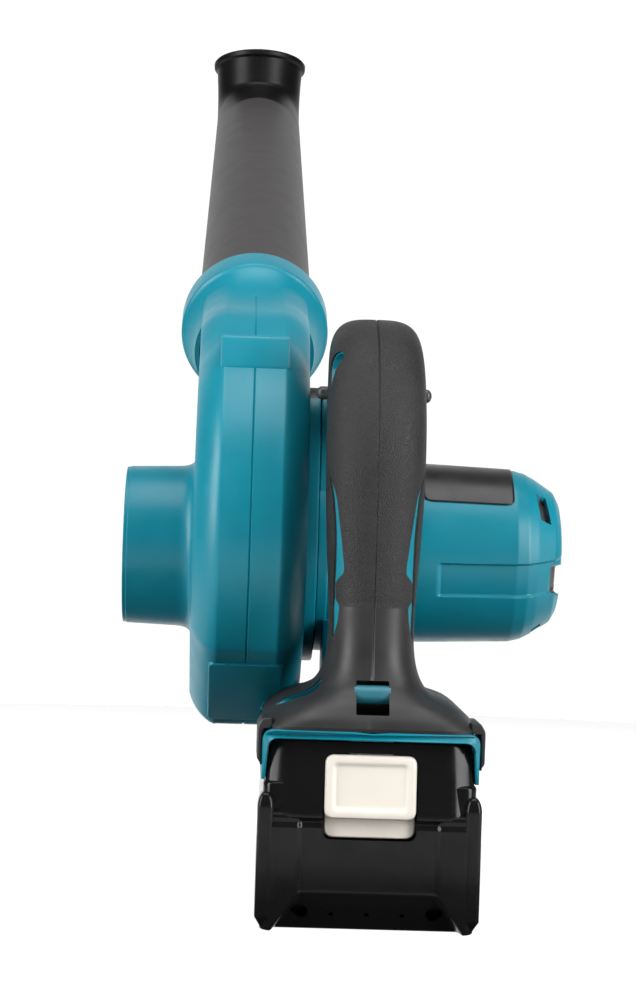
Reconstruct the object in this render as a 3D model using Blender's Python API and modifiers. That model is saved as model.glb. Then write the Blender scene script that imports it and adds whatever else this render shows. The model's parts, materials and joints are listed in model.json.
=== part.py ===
"""A cordless leaf blower that stands on its battery, as separate solid pieces.

Metres, +Z up. The origin is the centre of the battery's flat base. +X points to the motor's closed
end and +Y the way the nozzle points. Every object in the blower's collection is one solid piece of
the real tool. The shapes that cut or join them are in the guides collection.
"""

import math

import bmesh
import bpy
from mathutils import Matrix, Vector

# ---------------------------------------------------------------- walls and clearances
CLEARANCE = 0.0003
WALL = 0.0024
SKIN = 0.0018
SHELL_INSET = SKIN + CLEARANCE
CAVITY_INSET = SHELL_INSET + WALL
OVERSHOOT = 0.005
SEAM = 0.000002
TWIST = math.radians(7)  # keeps the facets of a plain cylinder off those of the turned pieces that it meets

# ---------------------------------------------------------------- battery
BATTERY_LENGTH = 0.115
BATTERY_WIDTH = 0.072
BATTERY_HEIGHT = 0.064
DECK_HEIGHT = 0.050
CASE_SPLIT = 0.024
CASE_WALL = 0.0022
PILLAR_PROUD = 0.00175
PILLAR_SIZE = 0.0060
PILLAR_FOOT = 0.003
PILLAR_TOP = 0.045
HUMP_LENGTH = 0.0215
HUMP_NARROWER = 0.003
HUMP_RIDGE = 0.038
HUMP_LEAN = 0.0035
BASE_CHAMFER_HEIGHT = 0.013
BASE_CHAMFER_DEPTH = 0.008
TOWER_WIDTH = 0.044
TOWER_LENGTH = 0.082
GROOVE_DEPTH = 0.0027
GROOVE_LOW = 0.055
GROOVE_HIGH = 0.059
SLOT_PLACE = 0.014
SLOT_WIDTH = 0.005
SLOT_START = 0.008
CELL_COLUMNS = 5
CELL_ROWS = 2
CELL_LENGTH = 0.065
CELL_PITCH = 0.01884
CASE_SCREW_INSET = 0.006
CASE_SCREW_SIDE = 0.0055

# ---------------------------------------------------------------- release button
BUTTON_WIDTH = 0.0305
BUTTON_LOW = 0.0383
BUTTON_HIGH = 0.0595
BUTTON_PROUD = 0.0009
BUTTON_TRAVEL = 0.0063
LATCH_WIDTH = 0.015
LATCH_DEPTH = 0.0048
LATCH_BITE = 0.0008
SPRING_WIRE = 0.0004

# ---------------------------------------------------------------- foot and handle
FOOT_GAP = 0.0004
FOOT_FLOOR = 0.003
RIM_HEIGHT = 0.0026
FOOT_PROUD = 0.0008
SKIRT_DROP = 0.013
GRIP_HALF_WIDTH = 0.017
GRIP_HALF_DEPTH = 0.0198
GRIP_SIDES = 20
BUMPER_PROUD = 0.0017
BRIDGE_HALF_WIDTH = 0.0148
STRAP_HALF_WIDTH = 0.0056
STRAP_LOW = 0.0068
STRAP_HIGH = 0.0182
STRAP_BAR_RADIUS = 0.0023
SKIN_END = 0.022
FOOT_SKIN_END = 0.027

# ---------------------------------------------------------------- motor
MOTOR_Y = 0.0625
MOTOR_RISE = 0.0613
FLANGE_X = -0.0176
FLANGE_RADIUS = 0.0379
BARREL_ROOT_RADIUS = 0.0339
BARREL_RADIUS = 0.0324
BARREL_END_X = 0.0741
SHAFT_RADIUS = 0.003
BORE = SHAFT_RADIUS + CLEARANCE
BEARING_RADIUS = 0.0095
BEARING_WIDTH = 0.006
REAR_BEARING_RADIUS = 0.008
CAN_WALL = 0.0022
MAGNET_THICKNESS = 0.0048
AIR_GAP = 0.0006

# ---------------------------------------------------------------- volute and nozzle
VOLUTE_RIGHT_X = -0.0223
VOLUTE_WIDTH = 0.041
VOLUTE_ROOM = 0.0008
VOLUTE_ROOM_REACH = 125
SCROLL_START_RADIUS = 0.057
SCROLL_GROWTH = 0.0001
SCROLL_POINTS = 30
SHOULDER = ((0.0, 0.0125), (0.0010, 0.0090), (0.0032, 0.0060), (0.0062, 0.0030), (0.0098, 0.0))
OUTLET_ANGLE = math.radians(22.7)
OUTLET_OFFSET = SCROLL_START_RADIUS - 0.0014
OUTLET_HALF_HEIGHT = 0.0282
OUTLET_SHOULDER = 0.6
OUTLET_END = 0.101
INLET_LENGTH = 0.026
INLET_RADIUS = 0.02955
INLET_BORE = 0.027
IMPELLER_GAP = 0.0042
IMPELLER_RADIUS = SCROLL_START_RADIUS - 0.0110
BLADE_COUNT = 9
NOZZLE_ROOT_RADIUS = 0.02335
NOZZLE_TIP_RADIUS = 0.0208
NOZZLE_LIP_RADIUS = 0.0235
NOZZLE_WALL = 0.0020
NOZZLE_LENGTH = 0.323
NOZZLE_INSERTION = 0.016
NOZZLE_BEND = math.radians(55.3)
NOZZLE_BEND_RADIUS = 0.025
NOZZLE_END_LENGTH = 0.016

# ---------------------------------------------------------------- places that follow from the sizes
HALF_LENGTH = BATTERY_LENGTH / 2
HALF_WIDTH = BATTERY_WIDTH / 2
FOOT_BASE = BATTERY_HEIGHT + FOOT_GAP
FOOT_HALF = HALF_WIDTH + FOOT_PROUD
MOTOR_Z = FOOT_BASE + MOTOR_RISE
MOTOR = Vector((0.0, MOTOR_Y, MOTOR_Z))
VOLUTE_LEFT_X = VOLUTE_RIGHT_X - VOLUTE_WIDTH
VOLUTE_SPLIT_X = (VOLUTE_LEFT_X + VOLUTE_RIGHT_X) / 2
INLET_END_X = VOLUTE_LEFT_X - INLET_LENGTH
ALONG = Vector((0.0, math.cos(OUTLET_ANGLE), math.sin(OUTLET_ANGLE)))
ACROSS = Vector((0.0, -math.sin(OUTLET_ANGLE), math.cos(OUTLET_ANGLE)))
OUTLET = Vector((VOLUTE_SPLIT_X, MOTOR_Y, MOTOR_Z)) + ACROSS * OUTLET_OFFSET
COLLAR_BORE = NOZZLE_ROOT_RADIUS + CLEARANCE
CAN_RADIUS = BARREL_RADIUS - WALL - 0.0027
NECK_CENTRE = (0.045, FOOT_BASE + 0.1076)
NECK_RADIUS = 0.014

X_AXIS = Vector((1.0, 0.0, 0.0))

# ---------------------------------------------------------------- finishes: colour, roughness, metallic
TEAL = ((0.010, 0.215, 0.270, 1.0), 0.35, 0.0)
ELASTOMER = ((0.055, 0.052, 0.052, 1.0), 0.75, 0.0)
GREY_PLASTIC = ((0.075, 0.070, 0.072, 1.0), 0.5, 0.0)
GLOSS_BLACK = ((0.008, 0.008, 0.008, 1.0), 0.12, 0.0)
IVORY = ((0.800, 0.730, 0.610, 1.0), 0.5, 0.0)
DARK_PLASTIC = ((0.02, 0.02, 0.022, 1.0), 0.45, 0.0)
STEEL = ((0.55, 0.55, 0.56, 1.0), 0.3, 1.0)
COPPER = ((0.72, 0.36, 0.20, 1.0), 0.35, 1.0)
FERRITE = ((0.09, 0.09, 0.095, 1.0), 0.6, 0.2)
CELL_WRAP = ((0.10, 0.30, 0.16, 1.0), 0.4, 0.0)
BOARD = ((0.02, 0.16, 0.07, 1.0), 0.5, 0.0)
RED_WIRE = ((0.55, 0.02, 0.02, 1.0), 0.5, 0.0)
LABEL = ((0.012, 0.012, 0.013, 1.0), 0.35, 0.0)


# ================================================================ tools for building
def empty_scene():
    """Remove every object, so that the file can be run again."""
    for thing in list(bpy.data.objects):
        bpy.data.objects.remove(thing, do_unlink=True)


def collection(name):
    """A collection in the scene, made once."""
    found = bpy.data.collections.get(name)
    if found is None:
        found = bpy.data.collections.new(name)
        bpy.context.scene.collection.children.link(found)
    return found


def place(name, mesh, finish=None, matrix=None):
    """Put a mesh into the scene, as a piece with a finish or, without one, as a guide."""
    piece = bpy.data.objects.new(name, mesh)
    if finish is None:
        collection("guides").objects.link(piece)
        piece.hide_render = True
        piece.display_type = "WIRE"
    else:
        collection("cordless_leaf_blower").objects.link(piece)
        mesh.materials.clear()
        mesh.materials.append(material(name, finish))
    if matrix is not None:
        piece.matrix_world = matrix
    return piece


def material(name, finish):
    """A Principled material with a finish's colour, roughness and metallic value."""
    colour, roughness, metallic = finish
    made = bpy.data.materials.new(name)
    made.use_nodes = True
    shader = made.node_tree.nodes["Principled BSDF"]
    shader.inputs["Base Color"].default_value = colour
    shader.inputs["Roughness"].default_value = roughness
    shader.inputs["Metallic"].default_value = metallic
    return made


def mesh_from(work, name, sharp_degrees=35):
    """Turn a bmesh into a mesh that is smooth except at sharp edges."""
    mesh = bpy.data.meshes.new(name)
    work.to_mesh(mesh)
    work.free()
    mesh.shade_smooth()
    mesh.set_sharp_from_angle(angle=math.radians(sharp_degrees))
    return mesh


def box(name, low, high, finish=None, radius=0.0, along=None, segments=3):
    """A box between two corners, its edges rounded, all of them or those along one axis."""
    work = bmesh.new()
    bmesh.ops.create_cube(work, size=1.0)
    size = [high[i] - low[i] for i in range(3)]
    centre = [(high[i] + low[i]) / 2 for i in range(3)]
    bmesh.ops.transform(work, matrix=Matrix.Translation(centre) @ Matrix.Diagonal((*size, 1.0)),
                        verts=work.verts)
    if radius:
        edges = work.edges[:]
        if along is not None:
            edges = [e for e in edges
                     if abs((e.verts[0].co - e.verts[1].co).normalized()["XYZ".index(along)]) > 0.9]
        bmesh.ops.bevel(work, geom=edges, offset=radius, segments=segments, profile=0.5, affect="EDGES")
    return place(name, mesh_from(work, name), finish)


def cylinder(name, start, end, radius, finish=None, sides=16, end_radius=None):
    """A cylinder, or with end_radius a cone, between two points."""
    start, end = Vector(start), Vector(end)
    work = bmesh.new()
    turn = Vector((0, 0, 1)).rotation_difference(end - start).to_matrix().to_4x4() @ Matrix.Rotation(TWIST,
                                                                                                     4, "Z")
    bmesh.ops.create_cone(work, cap_ends=True, segments=sides, radius1=radius,
                          radius2=radius if end_radius is None else end_radius, depth=(end - start).length,
                          matrix=Matrix.Translation((start + end) / 2) @ turn)
    return place(name, mesh_from(work, name), finish)


def turned(name, outline, origin, axis, finish=None, steps=32, ring=False):
    """A turned piece. The outline is (height, radius) points, its outer side from low to high."""
    work = bmesh.new()
    points = [work.verts.new((radius, 0.0, height)) for height, radius in reversed(outline)]
    for first, second in zip(points, points[1:]):
        work.edges.new((first, second))
    if ring:
        work.edges.new((points[-1], points[0]))
    mesh = bpy.data.meshes.new(name)
    work.to_mesh(mesh)
    work.free()
    turn = Vector((0, 0, 1)).rotation_difference(Vector(axis)).to_matrix().to_4x4()
    piece = place(name, mesh, finish, Matrix.Translation(origin) @ turn)
    screw = piece.modifiers.new("turn", "SCREW")
    screw.axis = "Z"
    screw.steps = steps
    screw.render_steps = steps
    screw.use_merge_vertices = True
    screw.merge_threshold = 0.00001
    screw.use_smooth_shade = True
    return piece


def tube_ring(name, x_low, x_high, outer, inner, finish=None, steps=32, centre=MOTOR):
    """A plain ring on an axis along X."""
    outline = [(x_low, outer), (x_high, outer), (x_high, inner), (x_low, inner)]
    return turned(name, outline, centre, X_AXIS, finish, steps, ring=True)


def prism(name, outline, x_low, x_high, finish=None):
    """An outline of (y, z) points carried along X."""
    work = bmesh.new()
    face = work.faces.new([work.verts.new((x_low, y, z)) for y, z in outline])
    grown = bmesh.ops.extrude_face_region(work, geom=[face])
    moved = [v for v in grown["geom"] if isinstance(v, bmesh.types.BMVert)]
    bmesh.ops.translate(work, verts=moved, vec=(x_high - x_low, 0.0, 0.0))
    bmesh.ops.recalc_face_normals(work, faces=work.faces[:])
    return place(name, mesh_from(work, name), finish)


def disc_hull(name, discs, x_low, x_high, finish=None, sides=24):
    """The hull round discs (y, z, radius), carried along X."""
    work = bmesh.new()
    for y, z, radius in discs:
        for step in range(sides):
            turn = 2 * math.pi * step / sides
            for x in (x_low, x_high):
                work.verts.new((x, y + radius * math.cos(turn), z + radius * math.sin(turn)))
    hull = bmesh.ops.convex_hull(work, input=work.verts[:])
    inside = [item for item in hull["geom_interior"] if isinstance(item, bmesh.types.BMVert)]
    bmesh.ops.delete(work, geom=inside, context="VERTS")
    bmesh.ops.dissolve_limit(work, angle_limit=math.radians(1), verts=work.verts[:], edges=work.edges[:])
    bmesh.ops.recalc_face_normals(work, faces=work.faces[:])
    return place(name, mesh_from(work, name), finish)


def loft(name, rings, finish=None):
    """A closed solid through rings of equally many points, capped at both ends."""
    work = bmesh.new()
    rows = [[work.verts.new(point) for point in ring] for ring in rings]
    count = len(rows[0])
    for row, following in zip(rows, rows[1:]):
        for i in range(count):
            j = (i + 1) % count
            work.faces.new((row[i], row[j], following[j], following[i]))
    work.faces.new(list(reversed(rows[0])))
    work.faces.new(rows[-1])
    bmesh.ops.recalc_face_normals(work, faces=work.faces[:])
    return place(name, mesh_from(work, name), finish)


def swept_tube(name, points, radius, finish=None, resolution=2, radii=None, caps=True):
    """A tube along points, made with a curve and turned into a mesh. radii scale it point by point."""
    curve = bpy.data.curves.new(name, "CURVE")
    curve.dimensions = "3D"
    curve.bevel_depth = radius
    curve.bevel_resolution = resolution
    curve.use_fill_caps = caps
    spline = curve.splines.new("POLY")
    spline.points.add(len(points) - 1)
    for i, point in enumerate(points):
        spline.points[i].co = (*point, 1.0)
        spline.points[i].radius = 1.0 if radii is None else radii[i]
    drawn = bpy.data.objects.new(name + "_curve", curve)
    bpy.context.scene.collection.objects.link(drawn)
    graph = bpy.context.evaluated_depsgraph_get()
    mesh = bpy.data.meshes.new_from_object(drawn.evaluated_get(graph))
    bpy.data.objects.remove(drawn, do_unlink=True)
    work = bmesh.new()
    work.from_mesh(mesh)
    bmesh.ops.remove_doubles(work, verts=work.verts[:], dist=0.000001)
    bmesh.ops.recalc_face_normals(work, faces=work.faces[:])
    return place(name, mesh_from(work, name), finish)


def combine(piece, operation, others, solver="EXACT"):
    """Add one Boolean for each of the other objects."""
    for other in others:
        cut = piece.modifiers.new(other.name, "BOOLEAN")
        cut.object = other
        cut.operation = operation
        cut.solver = solver
    return piece


def close_seams(piece):
    """Merge the points that the Booleans leave on top of each other."""
    weld = piece.modifiers.new("seams", "WELD")
    weld.merge_threshold = SEAM
    return piece


def cut_away(piece, *others):
    """Remove the other shapes from a piece."""
    return combine(piece, "DIFFERENCE", others)


def join_to(piece, *others):
    """Add the other shapes to a piece."""
    return combine(piece, "UNION", others)


def part_of(name, whole, low, high, finish):
    """The part of a guide that lies between two corners, as a piece of its own."""
    return close_seams(combine(box(name, low, high, finish), "INTERSECT", [close_seams(whole)], "MANIFOLD"))


def carried_by(name, point, pieces):
    """Parent pieces to an empty on their joint's axis, leaving them where they are."""
    axis = bpy.data.objects.new(name, None)
    axis.location = point
    axis.empty_display_size = 0.01
    bpy.context.scene.collection.objects.link(axis)
    bpy.context.view_layer.update()
    for piece in pieces:
        here = piece.matrix_world.copy()
        piece.parent = axis
        piece.matrix_parent_inverse = axis.matrix_world.inverted()
        piece.matrix_world = here
    return axis


# ================================================================ battery
def battery_pieces():
    """The battery's two case halves, cells, contact board and screws."""
    rear, front = -HALF_LENGTH, HALF_LENGTH
    cell_radius = CELL_PITCH / 2 - CLEARANCE / 2
    cells_end = CELL_COLUMNS * CELL_PITCH / 2
    cells_top = CASE_WALL + CLEARANCE + CELL_ROWS * CELL_PITCH
    tower_rear = rear + HUMP_LENGTH
    tower_front = tower_rear + TOWER_LENGTH

    outer = box("battery_block", (-HALF_WIDTH, rear, 0), (HALF_WIDTH, front, DECK_HEIGHT), None, 0.005, "Z")
    hump_half = HALF_WIDTH - HUMP_NARROWER
    hump = prism("battery_hump", [(rear, HUMP_RIDGE), (rear + HUMP_LEAN, BATTERY_HEIGHT),
                                  (tower_rear, BATTERY_HEIGHT), (tower_rear, HUMP_RIDGE)], -hump_half,
                 hump_half)
    tower = box("battery_tower", (-TOWER_WIDTH / 2, tower_rear - 0.001, DECK_HEIGHT - 0.001),
                (TOWER_WIDTH / 2, tower_front, BATTERY_HEIGHT))
    pillars = [box(f"battery_pillar_{side:+d}",
                   (min(side * (HALF_WIDTH - PILLAR_SIZE), side * (HALF_WIDTH + PILLAR_PROUD)), rear,
                    PILLAR_FOOT),
                   (max(side * (HALF_WIDTH - PILLAR_SIZE), side * (HALF_WIDTH + PILLAR_PROUD)),
                    rear + 2 * PILLAR_SIZE, PILLAR_TOP), None, 0.0022, None, 2) for side in (-1, 1)]
    join_to(outer, hump, tower, *pillars)

    chamfer = prism("battery_base_chamfer", [(rear - OVERSHOOT, BASE_CHAMFER_HEIGHT),
                                             (rear, BASE_CHAMFER_HEIGHT),
                                             (rear + BASE_CHAMFER_DEPTH, 0.0),
                                             (rear + BASE_CHAMFER_DEPTH, -OVERSHOOT),
                                             (rear - OVERSHOOT, -OVERSHOOT)],
                    -HALF_WIDTH - 0.01, HALF_WIDTH + 0.01)
    lean = prism("battery_lean", [(rear - OVERSHOOT, HUMP_RIDGE), (rear, HUMP_RIDGE),
                                  (rear + HUMP_LEAN, BATTERY_HEIGHT),
                                  (rear + HUMP_LEAN, BATTERY_HEIGHT + OVERSHOOT),
                                  (rear - OVERSHOOT, BATTERY_HEIGHT + OVERSHOOT)], -HALF_WIDTH - 0.01,
                 HALF_WIDTH + 0.01)
    grooves = [box(f"battery_groove_{side:+d}",
                   (min(side * (TOWER_WIDTH / 2 - GROOVE_DEPTH), side * HALF_WIDTH), tower_rear,
                    GROOVE_LOW),
                   (max(side * (TOWER_WIDTH / 2 - GROOVE_DEPTH), side * HALF_WIDTH),
                    tower_front + OVERSHOOT,
                    GROOVE_HIGH)) for side in (-1, 1)]
    slots = [box(f"battery_slot_{side:+d}",
                 (side * SLOT_PLACE - SLOT_WIDTH / 2, SLOT_START, cells_top),
                 (side * SLOT_PLACE + SLOT_WIDTH / 2, tower_front + OVERSHOOT, BATTERY_HEIGHT + OVERSHOOT))
             for side in (-1, 1)]

    half_inside = CELL_LENGTH / 2 + 0.0011
    cavity_top = DECK_HEIGHT - 0.004
    cavity = box("battery_cavity", (-half_inside, -cells_end - 0.0005, CASE_WALL),
                 (half_inside, front - CASE_WALL, cavity_top))
    button_half = BUTTON_WIDTH / 2
    rear_room = box("battery_rear_room", (-half_inside, rear + CASE_WALL, BUTTON_LOW - 0.0205),
                    (half_inside, -cells_end, cavity_top))
    latch_y = (rear + 0.0048, rear + 0.0104)
    hump_room = box("battery_hump_room", (-button_half - 0.002, latch_y[0], cavity_top - 0.001),
                    (button_half + 0.002, latch_y[1], BATTERY_HEIGHT - 0.002))
    join_to(cavity, rear_room, hump_room)

    screw_places = [(sx * (HALF_WIDTH - CASE_SCREW_SIDE), sy * (HALF_LENGTH - CASE_SCREW_INSET))
                    for sx in (-1, 1) for sy in (-1, 1)]
    bosses = [cylinder(f"battery_boss_{i}", (x, y, 0.001), (x, y, cells_top - 0.002), 0.0036, sides=12)
              for i, (x, y) in enumerate(screw_places)]
    ledge_top = cells_top + 0.0015
    ledge = box("battery_ledge", (-half_inside - 0.001, rear + 0.0050, ledge_top - 0.0035),
                (half_inside + 0.001, rear + 0.0100, ledge_top))
    cut_away(cavity, ledge, *bosses)

    button_slot = box("battery_button_slot",
                      (-button_half - 0.00035, rear - OVERSHOOT, BUTTON_LOW - BUTTON_TRAVEL - 0.0002),
                      (button_half + 0.00035, rear + 0.0070, BUTTON_HIGH + 0.0005))
    latch_slot = box("battery_latch_slot", (-LATCH_WIDTH / 2 - CLEARANCE, latch_y[0],
                                            BATTERY_HEIGHT - 0.004),
                     (LATCH_WIDTH / 2 + CLEARANCE, latch_y[1], BATTERY_HEIGHT + OVERSHOOT))
    cut_away(button_slot, ledge)
    holes = []
    head_seat = 0.0077
    for i, (x, y) in enumerate(screw_places):
        holes.append(cylinder(f"battery_counterbore_{i}", (x, y, -OVERSHOOT), (x, y, head_seat), 0.0031,
                              sides=12))
        holes.append(cylinder(f"battery_screw_hole_{i}", (x, y, 0.0), (x, y, cells_top - 0.004), 0.0018,
                              sides=10))
    cut_away(outer, chamfer, lean, *grooves, *slots, cavity, button_slot, latch_slot, *holes)

    reach = HALF_WIDTH + 0.02
    part_of("battery_lower_case", outer, (-reach, rear - 0.01, -0.01), (reach, front + 0.01, CASE_SPLIT),
            GLOSS_BLACK)
    part_of("battery_upper_case", outer, (-reach, rear - 0.01, CASE_SPLIT + CLEARANCE),
            (reach, front + 0.01, BATTERY_HEIGHT + 0.01), GLOSS_BLACK)
    names = ["battery_lower_case", "battery_upper_case"]

    for column in range(CELL_COLUMNS):
        for row in range(CELL_ROWS):
            name = f"cell_{column * CELL_ROWS + row + 1:02d}"
            y = (column - (CELL_COLUMNS - 1) / 2) * CELL_PITCH
            z = CASE_WALL + CLEARANCE + (row + 0.5) * CELL_PITCH
            cylinder(name, (-CELL_LENGTH / 2, y, z), (CELL_LENGTH / 2, y, z), cell_radius, CELL_WRAP,
                     sides=12)
            names.append(name)

    board_low = cells_top + 0.0012
    board_high = board_low + 0.0016
    contact_end = tower_front - 0.004
    board = box("contact_board", (-0.020, 0.002, board_low), (0.020, contact_end + 0.001, board_high),
                BOARD)
    clips = [box(f"contact_clip_{i}", (x - 0.0003, SLOT_START + 0.003, board_low + 0.0004),
                 (x + 0.0003, contact_end, BATTERY_HEIGHT - 0.003))
             for i, x in enumerate([s * SLOT_PLACE + d for s in (-1, 1) for d in (-0.0016, 0.0016)])]
    join_to(board, *clips)
    names.append("contact_board")

    for i, (x, y) in enumerate(screw_places):
        name = f"battery_screw_{i + 1}"
        low = head_seat - CLEARANCE
        tip = cells_top - 0.0046
        turned(name, [(low - 0.0022, 0), (low - 0.0022, 0.0027), (low, 0.0027), (low, 0.0015),
                      (tip, 0.0015), (tip, 0)],
               (x, y, 0), (0, 0, 1), STEEL, 10)
        names.append(name)

    button = release_button(rear, latch_y)
    spring = button_spring(latch_y, ledge_top)
    carried_by("release_button_axis", (0, rear, BUTTON_LOW), [button, spring])
    return names


def release_button(rear, latch_y):
    """The ivory release button: a dished pad, a skirt below it and the latch that it pulls down."""
    half = BUTTON_WIDTH / 2
    lean_rate = HUMP_LEAN / (BATTERY_HEIGHT - HUMP_RIDGE)
    low_y = rear + (BUTTON_LOW - HUMP_RIDGE) * lean_rate - BUTTON_PROUD
    high_y = rear + (BUTTON_HIGH - HUMP_RIDGE) * lean_rate - BUTTON_PROUD
    back = rear + 0.0045
    pad = prism("release_button", [(low_y, BUTTON_LOW), (high_y, BUTTON_HIGH), (back, BUTTON_HIGH),
                                   (back, BUTTON_LOW)],
                -half, half, IVORY)
    skirt = box("button_skirt", (-half, rear + CASE_WALL + CLEARANCE, BUTTON_LOW - 0.0130),
                (half, back, BUTTON_LOW + 0.001))
    web = box("button_web", (-LATCH_WIDTH / 2, back - 0.0008, BUTTON_HIGH - 0.0055),
              (LATCH_WIDTH / 2, latch_y[0] + 0.0012, BUTTON_HIGH - CLEARANCE))
    latch = box("button_latch", (-LATCH_WIDTH / 2, latch_y[0] + CLEARANCE, BUTTON_HIGH - 0.0055),
                (LATCH_WIDTH / 2, latch_y[0] + CLEARANCE + LATCH_DEPTH, FOOT_BASE + LATCH_BITE))
    dish = box("button_dish", (-half + 0.003, rear - 0.01, BUTTON_LOW + 0.0030),
               (half - 0.003, rear - BUTTON_PROUD + 0.0018, BUTTON_HIGH - 0.0030), None, 0.0018, None, 2)
    join_to(pad, skirt, web, latch)
    return cut_away(pad, dish)


def button_spring(latch_y, ledge_top):
    """The coil spring that lifts the release button."""
    y = latch_y[0] + CLEARANCE + LATCH_DEPTH / 2
    low = ledge_top + CLEARANCE + SPRING_WIRE
    high = BUTTON_HIGH - 0.0055 - CLEARANCE - SPRING_WIRE
    turns, each = 4, 8
    points = []
    for i in range(turns * each + 1):
        angle = 2 * math.pi * i / each
        points.append((0.0018 * math.cos(angle), y + 0.0018 * math.sin(angle),
                       low + (high - low) * i / (turns * each)))
    return swept_tube("release_spring", points, SPRING_WIRE, STEEL, resolution=0)


# ================================================================ handle and foot
def handle_stations():
    """Centre (y, height over the foot), tangent, half width, half depth and squareness, foot to neck."""
    rear, front = -HALF_LENGTH, HALF_LENGTH
    edges = [  # rear edge, front edge, height, half width, squareness
        (rear, front, RIM_HEIGHT, FOOT_HALF, 9.0),
        (rear + 0.0012, front - 0.002, 0.0061, FOOT_HALF - 0.0018, 7.0),
        (rear + 0.0038, front - 0.0075, 0.0100, FOOT_HALF - 0.0062, 5.0),
        (rear + 0.0070, 0.0320, 0.0140, 0.0220, 4.0),
        (rear + 0.0095, 0.0140, 0.0180, 0.0182, 3.2),
        (rear + 0.0115, 0.0035, 0.0236, 0.0160, 2.8),
        (rear + 0.0130, rear + 0.0547, 0.0326, 0.0148, 2.6)]
    stations = [((a + b) / 2, height, math.pi / 2, width, (b - a) / 2, square) for a, b, height, width,
                square in edges]
    middle = rear + 0.0137 + GRIP_HALF_DEPTH
    grip = GRIP_HALF_WIDTH
    deep = GRIP_HALF_DEPTH
    stations += [
        (middle, 0.0476, math.pi / 2, grip - 0.0018, deep, 2.5),
        (middle + 0.0003, 0.0636, math.pi / 2, grip - 0.0008, deep - 0.0001, 2.5),
        (middle + 0.0007, 0.0806, math.pi / 2, grip, deep - 0.0002, 2.5),
        (middle + 0.0025, 0.0956, math.radians(78), grip + 0.0003, deep - 0.0003, 2.7),
        (middle + 0.0085, 0.1100, math.radians(58), grip + 0.0003, deep - 0.0002, 3.1),
        (middle + 0.0195, 0.1200, math.radians(30), grip, deep, 3.5),
        (middle + 0.0340, 0.1236, math.radians(2), grip - 0.0005, deep + 0.0002, 3.3),
        (middle + 0.0490, 0.1200, math.radians(-22), grip - 0.0015, deep - 0.0013, 2.8),
        (middle + 0.0620, 0.1125, math.radians(-33), grip - 0.0022, deep - 0.0028, 2.4),
        (middle + 0.0740, 0.1040, math.radians(-36), grip - 0.0026, deep - 0.0033, 2.4)]
    return stations


def handle_solid(name, inset, finish=None):
    """The handle from the foot to the neck, drawn in from its outer surface by an inset."""
    rings = []
    for y, height, tangent, width, depth, square in handle_stations():
        outward = (-math.sin(tangent), math.cos(tangent))
        ring = []
        for step in range(GRIP_SIDES):
            turn = 2 * math.pi * step / GRIP_SIDES
            cosine, sine = math.cos(turn), math.sin(turn)
            x = (width - inset) * math.copysign(abs(cosine) ** (2 / square), cosine)
            out = (depth - inset) * math.copysign(abs(sine) ** (2 / square), sine)
            ring.append((x, y + out * outward[0], FOOT_BASE + height + out * outward[1]))
        rings.append(ring)
    return loft(name, rings, finish)


HOUSING_SCREWS = {  # name: (Y, height over the foot, X of the head's seat, X of the tip)
    "housing_screw_top": (-0.0150, 0.1255, -0.0085, 0.0095),
    "housing_screw_rear": (-HALF_LENGTH + 0.0245, 0.0146, -0.0085, 0.0095),
    "housing_screw_front": (0.0440, 0.0095, -0.0085, 0.0095),
    "housing_screw_neck": (0.0330, 0.1110, -0.0075, 0.0085),
    "housing_screw_grip": (-HALF_LENGTH + 0.0210, 0.0530, -0.0075, 0.0085)}
TRIGGER_LOW = 0.0745
TRIGGER_HIGH = 0.1005
TRIGGER_HALF = 0.0070
TRIGGER_TRAVEL = 0.0060
LOCK_PLACE = (0.0050, 0.1185)
LOCK_RADIUS = 0.0024
LOCK_PROUD = 0.0023


def inlay_outline():
    """The side window in the grip's skin, as (y, z): a slim blade over a small diamond."""
    rear = -HALF_LENGTH
    heights = ((0.0290, 0.0915), (0.0220, 0.0820), (0.0192, 0.0690), (0.0174, 0.0570), (0.0176, 0.0540),
               (0.0224, 0.0500), (0.0224, 0.0450), (0.0194, 0.0415), (0.0205, 0.0360), (0.0245, 0.0285),
               (0.0262, 0.0300), (0.0258, 0.0410), (0.0250, 0.0460), (0.0250, 0.0500), (0.0232, 0.0580),
               (0.0244, 0.0700), (0.0264, 0.0820), (0.0302, 0.0910))
    return [(rear + y, FOOT_BASE + h) for y, h in heights]


def handle_cutters():
    """Openings that go through the skin and the shell alike."""
    rear = -HALF_LENGTH
    top_y, top_h = HOUSING_SCREWS["housing_screw_top"][:2]
    well = disc_hull("well_top",
                     [(top_y, FOOT_BASE + top_h, 0.0036),
                      (top_y - 0.0022, FOOT_BASE + top_h - 0.0060, 0.0013)],
                     -0.030, HOUSING_SCREWS["housing_screw_top"][2], sides=20)
    wells = [well]
    for name in ("housing_screw_rear", "housing_screw_front", "housing_screw_neck", "housing_screw_grip"):
        y, height, seat, _ = HOUSING_SCREWS[name]
        wells.append(cylinder("well_" + name, (-0.045, y, FOOT_BASE + height),
                              (seat, y, FOOT_BASE + height), 0.0036, sides=14))
    trigger_slot = box("trigger_slot",
                       (-TRIGGER_HALF - 0.0004, rear + 0.037, FOOT_BASE + TRIGGER_LOW - 0.0004),
                       (TRIGGER_HALF + 0.0004, rear + 0.075, FOOT_BASE + TRIGGER_HIGH + 0.0004))
    lock_hole = cylinder("lock_hole", (-0.03, LOCK_PLACE[0], FOOT_BASE + LOCK_PLACE[1]),
                         (0.03, LOCK_PLACE[0], FOOT_BASE + LOCK_PLACE[1]), LOCK_RADIUS + CLEARANCE,
                         sides=20)
    strap_pocket = box("strap_pocket", (-STRAP_HALF_WIDTH, rear - 0.002, FOOT_BASE + STRAP_LOW),
                       (STRAP_HALF_WIDTH, rear + 0.0170, FOOT_BASE + STRAP_HIGH))
    return wells, trigger_slot, lock_hole, strap_pocket


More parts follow.
